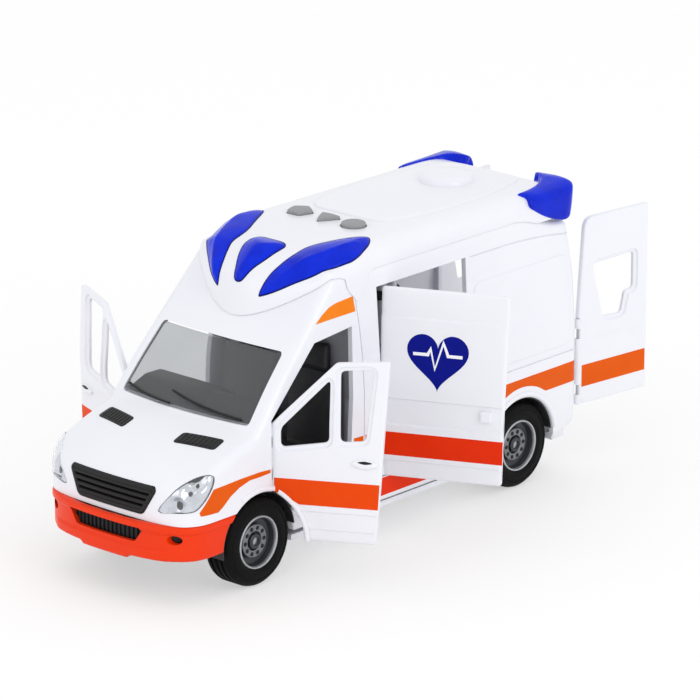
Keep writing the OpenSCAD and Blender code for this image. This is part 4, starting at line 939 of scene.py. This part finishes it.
# windscreen, grille, vents, lamps
screen = skinPanel("windscreen_pane", bodyForm, fromFront, front(roundedLoop(
    [(-36.7, 70.5), (36.7, 70.5), (34.6, 96.6), (-34.6, 96.6)], 1.8)), finishes["smokedScreen"],
    {"spacing": 2.5, "thickness": 1.6, "lift": -0.3, "run": 0.6, "drop": 0.4})
settle(screen, "van", ["windscreen"])
wiperPaths = {"left": [(33, 71.6), (19, 72.4), (5, 73.8), (-8, 75.6)],
              "right": [(-6, 71.3), (-16, 71.5), (-26, 72.2), (-34, 73.2)]}
for hand, path in wiperPaths.items():
    fine = np.array([np.interp(np.linspace(0, 3, 16), range(4), [p[i] for p in path]) for i in (0, 1)]).T
    start = np.array([(120, y, z) for y, z in fine], float)
    onScreen = firstHit(bodyForm, start, np.array(fromFront, float), 400)
    blade = tube(hand + "_wiper", onScreen + np.array((0.5, 0, 0.5)), 0.55, finishes["blackAbs"], 8)
    settle(blade, "van")

grilleRim = turned(grilleLoop, 1)
grillePanel = skinPanel("grille_backing", bodyForm, fromFront, front(offsetLoop(grilleRim, 0.3)),
                        finishes["blackAbs"], {"spacing": 2.0, "thickness": 1.0, "lift": -1.6})
frameSize = {"spacing": 1.5, "thickness": 2.4, "lift": 0.7, "run": 0.7, "drop": 0.7}
grilleFrame = skinPanel("grille_frame", bodyForm, fromFront, front(offsetLoop(grilleRim, 0.2)),
                        finishes["blackAbs"], frameSize, [front(offsetLoop(grilleRim, 2.2))])
grilleRow = {"Count": 4, "Spacing": 2.55, "Length": 2.0, "Width": 2.2, "top": 0.75, "round": 0.9,
             "foot": -1.4}


def grilleSpread(across, along):
    z = 45.1 + across
    return np.stack([0 * z, along * np.interp(z, (38.6, 49.6), (17.0, 23.0)), z], 1)


grilleBars = slatRow(bodyForm, fromFront, grilleSpread, grilleRow)
settle(joined("radiator_grille_moulding", [grillePanel, grilleFrame, grilleBars]), "van",
       ["radiator_grille"])

ventRow = {"Count": 8, "Spacing": 0.108, "Length": 0.8, "Width": 0.066, "top": 0.75, "round": 0.4,
           "foot": -0.6}
ventSize = {"spacing": 1.2, "thickness": 1.2, "lift": 0.4, "run": 0.5, "drop": 0.4}
ventCorners = [np.array(p) for p in doorShapes["vent"]]
ventRim = plan(offsetLoop(turned(ventLoop, 1), -0.25))
ventPieces = []
for flip in hands.values():
    ventPieces.append(skinPanel("vent", bodyForm, fromTop, ventRim * (1, flip, 1), finishes["blackAbs"],
                                ventSize))

    def ventSpread(across, along, flip=flip):
        k, t = (across + 0.5)[:, None], (along + 0.5)[:, None]
        inner = ventCorners[1] * (1 - t) + ventCorners[2] * t
        outer = ventCorners[0] * (1 - t) + ventCorners[3] * t
        return np.concatenate([(outer * (1 - k) + inner * k) * (1, flip), 0 * k], 1)

    ventPieces.append(slatRow(bodyForm, fromTop, ventSpread, ventRow))
settle(joined("bonnet_vent_mouldings", ventPieces), "van", ["bonnet_vents"])

lampSize = {"spacing": 1.2, "thickness": 0.7, "lift": 0.4, "run": 0.5, "drop": 0.4}
bowlSize = {"spacing": 0.8, "thickness": 4.6, "lift": -0.55, "run": 0.2, "drop": 0.1}
bulbSize = {"spacing": 0.7, "thickness": 2.4, "lift": -2.2, "run": 0.4, "drop": 0.4}
bowlSpots, bulbRadii = [(41.4, 34.8, 44.8), (37.6, 38.7, 50.4), (34.5, 40.0, 54.4)], (1.9, 1.5, 1.1)
lampPieces, bowlPieces = [], []
for hand in hands.values():
    flip = np.array((1, hand, 1))
    look, rim, spots = np.array(lampLook) * flip, lampLoop * flip, np.array(bowlSpots) * flip

    def bowlDepth(p, spots=spots):
        return -2.8 * np.max([np.maximum(0, 1 - ((p - s) ** 2).sum(1) / 22) for s in spots], axis=0)

    lampPieces.append(skinPanel("lens", bodyForm, look, rim, finishes["clearLens"], lampSize))
    bowlPieces.append(skinPanel("bowl", bodyForm, look, rim, finishes["chromePlate"],
                                dict(bowlSize, relief=bowlDepth)))
    for spot, radius in zip(spots, bulbRadii):
        ring = spot + front(spokes(radius, wholeTurn(18)))
        bowlPieces.append(skinPanel("bulb", bodyForm, look, ring, finishes["cabinAbs"], bulbSize))
settle(joined("headlight_lens_pair", lampPieces), "van", ["headlight_lenses"])
settle(joined("headlight_reflector_pair", bowlPieces), "van", ["headlight_reflectors"])
print("front fittings done")

# front bumper: a wrap-round moulding with an upper lip, an intake and two fog lamp recesses
bumperHalf = np.concatenate([noseCurve(51.0, van["noseDepth"], 43.4), [(11.6, 43.4)]])
bumperPlan = bothHalves(bumperHalf)


def bumperForm(p):
    lowLip = smoothStep(25.6, 24.6, p[:, 2]) * smoothStep(36, 30, np.abs(p[:, 1]))
    lip = 0.9 * smoothStep(33.4, 32.6, p[:, 2]) - 0.9 * lowLip
    around = outlineDistance(p[:, :2], bumperPlan) + lip
    foot = van["bumperFoot"] - 1.4 * smoothStep(14.5, 12.5, np.abs(p[:, 1]))
    return softMax([around, p[:, 2] - van["bumperTop"] + 0.2, foot - p[:, 2]], 1.3)


bumper = castForm("front_bumper_moulding", bumperForm, (lineSet((10, 53, 1.0)), lineSet((-46, 46, 1.2)),
                  lineSet((18, 38, 0.6))), (14, -20, 26), (28, 20, 30))
bumperInner = bothHalves(bumperHalf - (2.6, 2.6))
bumperInner[:, 0] = np.where(bumperInner[:, 0] < 12, 5, bumperInner[:, 0])
intake = [(-17, 27.2), (17, 27.2), (21, 33), (20, 34), (-20, 34), (-21, 33)]
fog, fogSpots = spokes(1, wholeTurn(32)) * (2.9, 2.0), [(34.8, 30.4), (-34.8, 30.4)]
carve(bumper, [prism(plan(bumperInner), fromTop, -60, -5), archCut(0),
               prism(front(roundedLoop(intake, 1.2)), fromFront, -70, -35)]
      + [prism(front(fog + spot), fromFront, -70, -25) for spot in fogSpots], finishes["bumperAbs"])
settle(bumper, "van", ["front_bumper"])


def meshFace(p):
    # the face of the intake mesh lies behind the bumper's skin
    return outlineDistance(p[:, :2], bumperPlan) + 3.2


def intakeSpread(across, along):
    return np.stack([0 * across, across, 30.5 + along], 1)


intakeRow = {"Count": 17, "Spacing": 2.4, "Length": 8.4, "Width": 0.8, "top": 0.8, "round": 0.4, "foot": -0.3}
meshCorners = [(-24, 25.5), (24, 25.5), (24, 35.2), (-24, 35.2)]
mesh = [skinPanel("mesh", meshFace, fromFront, front(meshCorners), finishes["blackAbs"],
                  {"spacing": 3.0, "thickness": 1.2}),
        slatRow(meshFace, fromFront, intakeSpread, intakeRow)]
mesh += [skinPanel("fog", meshFace, fromFront, front(fog * 1.3 + spot), finishes["blackAbs"],
                   {"spacing": 1.2, "thickness": 1.2, "lift": -0.3}) for spot in fogSpots]
settle(joined("intake_mesh_moulding", mesh), "van", ["intake_mesh"])
print("bumper done")

# doors: plates of the body's own form with windows, a stepped frame and a barrel on the hinge rod
def barrel(x, y, low, high, place):
    # three knuckles on the hinge rod, with room between them for those of the body
    parts = []
    for z0, z1 in ((low, low + 4.7), (low + 9.3, high - 9.3), (high - 4.7, high)):
        ring = [(0.85, z0), (1.2, z0), (1.5, z0 + 0.3), (1.5, z1 - 0.3), (1.2, z1), (0.85, z1), (0.85, z0)]
        parts.append(lathe("knuckle", ring, finishes["whiteAbs"], 28, lambda p: place(p + (x, y, 0))))
    return parts


def crease(low, high, x0, x1):
    # two lines of points that keep a step sharp
    return [side([(x0, z), (x1, z), (x1, z + 0.001)]) for z in (low, high)]


# the frame of a window steps in between these distances from its edge
windowStep, frameWidths = 0.9, (1.5, 2.1)
doorSize = {"spacing": 1.7, "thickness": 2.4, "run": 0.9, "drop": 0.7}
pullSize = {"spacing": 0.8, "thickness": 2.0, "lift": 1.2, "run": 1.1, "drop": 1.1}
pullSlotShadeSize = {"spacing": 0.6, "thickness": 0.5, "lift": 1.25, "run": 0.2, "drop": 0.1}
lipSize = {"spacing": 1.2, "thickness": 1.2, "lift": 0.7, "run": 0.8, "drop": 0.6}
latchSize = {"spacing": 0.8, "thickness": 1.8, "lift": 0.9, "run": 0.7, "drop": 0.7}
inkSize = {"spacing": 1.6, "thickness": 0.4, "lift": 0.12, "run": 0.2, "drop": 0.08}
frontLights = [roundedLoop(doorShapes["quarterLight"], 2.5), roundedLoop(doorShapes["doorLight"], 2.5)]


def frontRelief(p):
    frameGap = np.minimum.reduce([outlineDistance(p[:, [0, 2]], w) for w in frontLights])
    return (-windowStep * (1 - smoothStep(*frameWidths, frameGap)) - 0.6 * smoothStep(33.0, 32.4, p[:, 2])
            - 0.6 * smoothStep(25.0, 24.4, p[:, 2]))


frontMarks = crease(32.4, 33.0, -58, -8) + crease(24.4, 25.0, -58, -8)
frontMarks += [side(offsetLoop(turned(w, 1), -d)) for w in frontLights for d in frameWidths]


def sideRelief(p):
    rail = smoothStep(53.2, 53.8, p[:, 2]) * smoothStep(65.4, 64.8, p[:, 2])
    return -0.8 * rail - 0.5 * smoothStep(101, 101.6, p[:, 2]) - 0.6 * smoothStep(37.4, 36.8, p[:, 2])


sideMarks = [m for z in (53.2, 64.8, 101, 36.8) for m in crease(z, z + 0.6, -136, -77)]
rearFaceX = -212.3
rearLight = roundedLoop(doorShapes["rearLight"], 2.0)
rearBadge = np.array([(8, 56.6), (33, 57.6), (33, 58.2), (8, 57.2)])


def rearFace(p):
    return rearFaceX - p[:, 0]


def rearRelief(p):
    seen = np.stack([np.abs(p[:, 1]), p[:, 2]], 1)
    emboss = smoothStep(0.9, 0.5, outlineDistance(seen, rearBadge))
    return -windowStep * (1 - smoothStep(*frameWidths, outlineDistance(seen, rearLight))) - 0.4 * emboss


pullLoop = splineLoop([(-54.8, 55.4), (-51.8, 57.4), (-46.6, 57.5), (-43.4, 55.6), (-46.4, 53.7),
                       (-51.8, 53.6)], 6)
# the slot of the pull is a black sheet laid on it: painted shade for the recess of the slot
pullSlotShadeLoop = splineLoop([(-52.6, 56.5), (-49.4, 57.2), (-46.2, 56.6), (-49.4, 55.8)], 6)
lipLoop = arc((0, wheelR), 23.15, 119, 181, 24) + arc((0, wheelR), 25.2, 181, 119, 24)
frontShape, sideShape = roundedLoop(doorShapes["front"], 1.2, 3), roundedLoop(doorShapes["side"], 1.4, 3)
frontStripe = [(-54.8, 35.6), (-20.8, 35.6), (-16.5, 38), (-10, 40.6), (-10, 46.8), (-55.5, 46.8)]
for hand, flip in hands.items():
    look, place = sideLooks[hand], swung("front_%s_door_hinge" % hand)
    parts = [skinPanel("door", bodyForm, look, side(frontShape), finishes["whiteAbs"],
                       dict(doorSize, relief=frontRelief, marks=frontMarks), [side(w) for w in frontLights],
                       place)]
    for loop, finish, size in ((pullLoop, "whiteAbs", pullSize), (pullSlotShadeLoop, "blackAbs", pullSlotShadeSize),
                               (lipLoop, "whiteAbs", dict(lipSize, thickness=2.6))):
        parts.append(skinPanel("fitting", bodyForm, look, side(loop), finishes[finish], size, place=place))
    parts += barrel(-8.9, flip * van["hingeY"], 41.1, 69.4, place)
    settle(joined("front_%s_door_moulding" % hand, parts), hand + "_front_door",
           ["front_%s_door" % hand])
    trim("front_%s_door_stripe" % hand, bodyForm, look, side(frontStripe), "vermilionInk",
         dict(inkSize, spacing=2.0), hand + "_front_door", place)

place = swung("side_door_hinge")
latch = roundedLoop([(-128, 58), (-122.5, 58), (-122.5, 63), (-128, 63)], 1)
parts = [skinPanel("door", bodyForm, fromLeft, side(sideShape), finishes["whiteAbs"],
                   dict(doorSize, relief=sideRelief, marks=sideMarks), place=place),
         skinPanel("latch", bodyForm, fromLeft, side(latch), finishes["whiteAbs"], latchSize, place=place)]
parts += barrel(-78.5, van["hingeY"], 29.6, 69.4, place)
settle(joined("side_door_moulding", parts), "left_side_door", ["side_door"])

# a heart with a pulse line on the side door
t = wholeTurn(60)
heartUp = 13 * np.cos(t) - 5 * np.cos(2 * t) - 2 * np.cos(3 * t) - np.cos(4 * t)
heart = np.stack([16 * np.sin(t) ** 3, heartUp], 1) * 0.86
pulse = np.array([(-11, 0), (-4.6, 0), (-2.4, 5.6), (1.2, -6.2), (3.2, 2.6), (4.4, 0), (11, 0)]) + (0, 1.4)
runs = np.diff(pulse, axis=0)
runs /= np.linalg.norm(runs, axis=1, keepdims=True)
before, after = np.concatenate([runs[:1], runs]), np.concatenate([runs, runs[-1:]])
# the line keeps its width round its corners
mitre = 0.7 / np.maximum(1 + (before * after).sum(1, keepdims=True), 0.35)
pulseSide = np.stack([-(before + after)[:, 1], (before + after)[:, 0]], 1) * mitre
pulseLine = np.concatenate([pulse + pulseSide, (pulse - pulseSide)[::-1]])
markCentre = (-103.4, 84.6)
sidePrints = {
    "stripe": ([(-132.6, 39.5), (-79.6, 39.5), (-79.6, 50), (-132.8, 50)], "redInk", inkSize, "orange_abs"),
    "mark": (heart + markCentre, "navyInk", inkSize, "blue_lens"),
    "pulse": (pulseLine + markCentre, "whiteInk", dict(inkSize, spacing=1.0, lift=0.24), "white_abs"),
}
for key, (loop, finish, size, slot) in sidePrints.items():
    trim("side_door_" + key, bodyForm, fromLeft, side(loop), finish, size, "left_side_door", place)

rearStripe = np.array([(1.2, 37.2), (40.6, 37.2), (40.6, 47.4), (1.2, 47.4)])
rearRadii = (0.6, 4, 0.3, 0.3, 5, 0.6)
for hand, flip in hands.items():
    place = swung("rear_%s_door_hinge" % hand)
    shape = roundedLoop(np.array(doorShapes["rear"]) * (flip, 1), rearRadii, 5)
    marks = [front(offsetLoop(turned(rearLight, 1), -d) * (flip, 1)) for d in frameWidths]
    parts = [skinPanel("door", rearFace, fromBehind, front(shape), finishes["whiteAbs"],
                       dict(doorSize, relief=rearRelief, marks=marks), [front(rearLight * (flip, 1))], place)]
    parts += barrel(-210.8, flip * van["hingeY"], 29, 69.4, place)
    settle(joined("rear_%s_door_moulding" % hand, parts), hand + "_rear_door",
           ["rear_%s_door" % hand])
    trim("rear_%s_door_stripe" % hand, rearFace, fromBehind, front(rearStripe * (flip, 1)), "orangeInk",
         inkSize, hand + "_rear_door", place)
print("doors done")

# printed bands and raised fields of the body sides
def lowerBand(x0, x1, z0, z1):
    # a band whose lower edge clears the white lip around the rear arch
    lipR = van["archR"] + 5
    clear = [wheelR + math.sqrt(max(0, lipR ** 2 - (x + wheelbase) ** 2)) for x in np.linspace(x0, x1, 50)]
    low = [(x, max(z0, z)) for x, z in zip(np.linspace(x0, x1, 50), clear)]
    return [(x, min(z, z1 - 0.4)) for x, z in low] + [(x1, z1), (x0, z1)]


fieldSize = {"spacing": 2.5, "thickness": 1.2, "lift": 0.55, "run": 1.1, "drop": 0.5}
fenderBand = [(28.6, 50.9), (21.7, 51), (12.7, 51.3), (0.3, 51.3), (-6.2, 50.8), (-6.2, 49.3), (0.3, 49.1),
              (6.5, 49.2), (12.8, 47.7), (18.2, 45.2), (22.7, 41.9), (25.8, 40.1), (35.6, 40.6), (36.2, 42.3),
              (33.6, 45.2)]
browDecal = [(-37.6, 106.8), (-41.5, 109.8), (-46.1, 112.2), (-50.6, 113.2), (-61.4, 113.8), (-62.6, 106.9),
             (-49.2, 106.9)]
besideSideDoor = {
    "pillar_band": ([(-75.8, 40), (-66.1, 40), (-66.1, 51.1), (-75.8, 51.1)], "orangeInk"),
    "post_band": ([(-64.7, 40), (-58.2, 40), (-58.6, 51.3), (-64.7, 51.1)], "orangeInk"),
    "sill_band": ([(-131.5, 20.6), (-66.1, 20.6), (-66.1, 28.7), (-131.5, 28.7)], "redInk"),
}
# from and to which angle each lip runs; the door has the rest of the front one
archSpans = {"front": (0, 62, 115), "rear": (-wheelbase, 8, 172)}
cabSill = [(-23.8, 18), (-53.6, 18), (-53.9, 27.4), (-22, 27.4)]
for hand, flip in hands.items():
    look, quarterX = sideLooks[hand], {"left": -136.5, "right": -66.5}[hand]
    bands = {"quarter_band": (lowerBand(-207.5, quarterX, 41.5, 51), "orangeInk"),
             "fender_band": (fenderBand, "orangeInk"), "brow_decal": (browDecal, "amberInk")}
    if hand == "left":
        bands.update(besideSideDoor)
    for key, (loop, finish) in bands.items():
        trim("%s_%s" % (hand, key), bodyForm, look, side(loop), finish, inkSize, "van")
    field = roundedLoop([(-203, 60), (quarterX - 2.5, 60), (quarterX - 2.5, 101.8), (-202.5, 101.8)], 5)
    trim(hand + "_quarter_field", bodyForm, look, side(field), "whiteAbs", fieldSize, "van")
    for key, (x, start, end) in archSpans.items():
        hub, archR, name = (x, wheelR), van["archR"], "%s_%s_arch_" % (hand, key)
        lip = arc(hub, archR + 0.2, start, end, 40) + arc(hub, archR + 2.6, end, start, 40)
        trim(name + "lip", bodyForm, look, side(lip), "whiteAbs", lipSize, "van")
        liner = arc(hub, archR - 0.2, -6, 172, 44) + arc(hub, archR - 0.7, 172, -6, 44)
        made = slab(name + "liner", liner, *sorted((flip * 24.0, flip * 42.2)), finishes["cabinAbs"], 0)
        settle(made, "van")
    sill = slab(hand + "_cab_sill", cabSill, *sorted((flip * 36.5, flip * 40.2)), finishes["whiteAbs"], 0.6)
    settle(sill, "van")
stepNear, stepFar = van["rearX"] + 1, van["rearX"] + 10
step = slab("rear_step", [(stepNear, 14.2), (stepFar, 13.4), (stepFar, 25.5), (stepNear, 25.5)], -37, 37,
            finishes["whiteAbs"], 0.8)
settle(step, "van")
boards = []
for low, high, half in ((20, 44, 23.5), (43, 66, 37.5)):
    profile = [(-6, low), (-8, low), (-8, high), (-6, high)]
    boards.append(slab("board", profile, -half, half, finishes["cabinAbs"], 0.3))
settle(joined("toe_board", boards), "van")
print("bands done")

# wheels: a soft tyre, a dished rim with a silver ring, and a ring of black dots made by a node tree: painted
# shade for the holes of the wheel
wheel = {"outerY": 42.6, "width": 15.0, "rimR": 11.8, "Count": 10, "Ring Radius": 5.75, "Hole Shade Radius": 0.95}
wide, rimR = wheel["width"], wheel["rimR"]
plateZ = wide - 3.5
tyreProfile = [(rimR, 0.6), (rimR + 0.8, 0.1), (wheelR - 3.2, 0.0), (wheelR - 1.4, 0.7), (wheelR - 0.4, 1.8),
               (wheelR, 3.0)]
for tread in (4.4, 7.5, 10.6):
    tyreProfile += [(wheelR, tread - 0.7), (wheelR - 0.9, tread - 0.5), (wheelR - 0.9, tread + 0.5),
                    (wheelR, tread + 0.7)]
tyreProfile += [(wheelR, wide - 3.0), (wheelR - 0.4, wide - 1.8), (wheelR - 1.4, wide - 0.7),
                (wheelR - 2.4, wide - 0.25), (wheelR - 3.0, wide - 0.6), (wheelR - 3.6, wide - 0.2),
                (rimR + 0.9, wide - 0.05), (rimR, wide - 0.6), (rimR, 0.6)]
dishProfile = [(2.05, 3), (rimR - 0.1, 3), (rimR - 0.1, wide - 1.9), (rimR - 1.0, wide - 1.9),
               (rimR - 1.7, wide - 4.3), (7.5, wide - 5.0), (7.3, plateZ), (4.2, plateZ), (4.0, wide - 4.6),
               (3.4, wide - 4.6), (3.3, wide - 2.6), (2.7, wide - 2.1), (2.05, wide - 2.0), (2.05, 3)]
plateProfile = [(4.2, plateZ), (7.3, plateZ), (7.3, wide - 3.2), (7.05, wide - 3.0), (4.45, wide - 3.0),
                (4.2, wide - 3.2), (4.2, plateZ)]
bandProfile = [(rimR - 1.15, wide - 1.9), (rimR - 0.05, wide - 1.9), (rimR - 0.05, wide - 0.7),
               (rimR - 0.35, wide - 0.35), (rimR - 0.8, wide - 0.4), (rimR - 1.15, wide - 0.9),
               (rimR - 1.15, wide - 1.9)]
rimParts = ((dishProfile, "rimGrey"), (plateProfile, "platePaint"), (bandProfile, "silverPaint"))


def holeShadeParts(tree, given):
    ring = addNode(tree, "GeometryNodeMeshCircle",
                   {"Vertices": given["Count"], "Radius": given["Ring Radius"]})
    bolt = addNode(tree, "GeometryNodeMeshUVSphere",
                   {"Segments": 14, "Rings": 8, "Radius": given["Hole Shade Radius"]})
    return ring, bolt


holeShadeTree, holeShadeKeys = repeatTree("hole_shade_ring", {"Count": "Int", "Ring Radius": "Float", "Hole Shade Radius": "Float"},
                                finishes["blackAbs"], holeShadeParts)
for key, axle in (("front", 0.0), ("rear", -wheelbase)):
    for hand, flip in hands.items():
        def place(p, axle=axle, flip=flip):
            x, y, z = np.asarray(p).T
            return np.stack([x + axle, flip * (z + wheel["outerY"] - wide), y * flip + wheelR], 1)

        tyre = lathe("%s_%s_tyre_moulding" % (key, hand), tyreProfile, finishes["tyrePvc"], 96, place)
        settle(tyre, key + "_wheels", ["%s_%s_tyre" % (key, hand)])
        parts = [lathe("rim", profile, finishes[finish], 80, place) for profile, finish in rimParts]
        # black dots on the plate: painted shade where the wheel has dark holes
        bolts = fromTree("bolts", holeShadeTree, holeShadeKeys, wheel)
        flattened = np.array([v.co[:] for v in bolts.data.vertices]) * (1, 1, 0.5) + (0, 0, wide - 3.0)
        parts.append(placeVerts(bolts, place(flattened)))
        settle(joined("%s_%s_rim_moulding" % (key, hand), parts), key + "_wheels",
               ["%s_%s_rim" % (key, hand)])
print("wheels done")

# padded top of the dashboard, deeper on the passenger's side
dashPads = {
    "dash_top_pad": ([(2, 62), (1.5, 67), (-5, 71.5), (-13, 74.4), (-22, 74.2), (-26, 72.4), (-27.5, 67),
                      (-24, 61), (-12, 60)], -36.5, 5),
    "dash_binnacle": ([(2, 62), (1.5, 67), (-5, 71.5), (-10, 75.4), (-14, 76), (-16, 73), (-14.5, 66),
                       (-10, 61)], 5, 36.5),
}
for name, (profile, y0, y1) in dashPads.items():
    settle(slab(name, profile, y0, y1, finishes["cabinAbs"], 0.9), "van")

# inside and underneath: solids of the frame with rounded edges, or carried over as they are
owner = {n: b for b, names in frame["record"]["behaviour"]["bodies"].items() for n in names}
roundedNodes = {
    "dashboard": ("cabinAbs", 1.2, "black_abs"), "left_seat": ("cabinAbs", 1.4, "black_abs"),
    "right_seat": ("cabinAbs", 1.4, "black_abs"), "steering_wheel": ("cabinAbs", 0.4, "black_abs"),
    "bulkhead": ("greyAbs", 0.5, "grey_abs"), "equipment_cabinet": ("greyAbs", 0.5, "grey_abs"),
    "left_wheel_house": ("greyAbs", 0.6, "grey_abs"), "right_wheel_house": ("greyAbs", 0.6, "grey_abs"),
    "oxygen_bottle": ("silverPaint", 0.5, "silver_paint"),
}
for node, (finish, width, slotName) in roundedNodes.items():
    softened(node, finishes[finish], width, owner[node])
carried = {
    "steelWire": ["front_axle", "rear_axle", "hinge_rods", "base_screws", "battery_cover_screw",
                  "battery_contacts"],
    "blackAbs": ["bottle_clamps", "button_switches", "speaker"], "whiteAbs": ["base_plate", "battery_cover"],
    "cabinAbs": ["cab_floor"], "greyAbs": ["patient_floor"], "cellJacket": ["battery_cells"],
    "solderMask": ["circuit_board"], "ledEpoxy": ["beacon_leds"],
}
for finish, nodes in carried.items():
    for node in nodes:
        frame["nodes"][node].data.materials.clear()
        frame["nodes"][node].data.materials.append(finishes[finish])
print("inside done")

# studio: pale floor, soft light from above and from both sides, camera at the photo's angle
scene = bpy.context.scene
floorMat, floorTree, floorShader = newMaterial("pale_studio_paper")[:3]
floorShader.inputs["Base Color"].default_value = hexColor("#FFFFFF")
floorShader.inputs["Roughness"].default_value = 0.9
# the paper is lifted to white where it is seen, and keeps half of the shadow
rays = addNode(floorTree, "ShaderNodeLightPath").outputs
seen = addNode(floorTree, "ShaderNodeMath", {0: rays["Is Camera Ray"], 1: rays["Is Glossy Ray"]},
               operation="MAXIMUM")
seen = addNode(floorTree, "ShaderNodeMath", {0: seen.outputs[0], 1: rays["Is Transmission Ray"]},
               operation="MAXIMUM")
share = addNode(floorTree, "ShaderNodeMath", {0: seen.outputs[0], 1: 0.5}, operation="MULTIPLY")
glow = addNode(floorTree, "ShaderNodeEmission", {"Color": (1, 1, 1, 1), "Strength": 1.0})
paper = addNode(floorTree, "ShaderNodeMixShader",
                {0: share.outputs[0], 1: floorShader.outputs["BSDF"], 2: glow.outputs["Emission"]})
floorTree.links.new(paper.outputs[0], floorTree.nodes["Material Output"].inputs["Surface"])
floorMesh = bpy.data.meshes.new("floor")
floorMesh.from_pydata([(-6, -6, 0), (6, -6, 0), (6, 6, 0), (-6, 6, 0)], [], [(0, 1, 2, 3)])
floorMesh.materials.append(floorMat)
floor = bpy.data.objects.new("floor", floorMesh)
scene.collection.objects.link(floor)


def areaLight(name, place, aim, size, power):
    light = bpy.data.lights.new(name, "AREA")
    light.size, light.energy = size, power
    lamp = bpy.data.objects.new(name, light)
    lamp.location = place
    lamp.rotation_euler = (Vector(aim) - Vector(place)).to_track_quat("-Z", "Y").to_euler()
    scene.collection.objects.link(lamp)


areaLight("key", (0.2, 1.7, 0.9), (0, 0, 0.05), 0.9, 5)
areaLight("fill", (1.7, -0.2, 0.8), (0, 0, 0.06), 1.0, 2)
world = bpy.data.worlds.new("studio")
scene.world = world
world.use_nodes = True
world.node_tree.nodes["Background"].inputs["Color"].default_value = (1, 1, 1, 1)
world.node_tree.nodes["Background"].inputs["Strength"].default_value = 0.95
scene.view_settings.view_transform = "Standard"

camera = bpy.data.cameras.new("camera")
camera.sensor_width, camera.lens, camera.clip_end = 36, 259.07, 20
viewer = bpy.data.objects.new("camera", camera)
back = Vector((0.70762, 0.63723, 0.30531)).normalized()
right = Vector((-0.66918, 0.74310, 0)).normalized()
viewer.matrix_world = Matrix((right, back.cross(right), back)).transposed().to_4x4()
viewer.location = (1.5609, 1.4086, 0.7459)
scene.collection.objects.link(viewer)
scene.camera = viewer
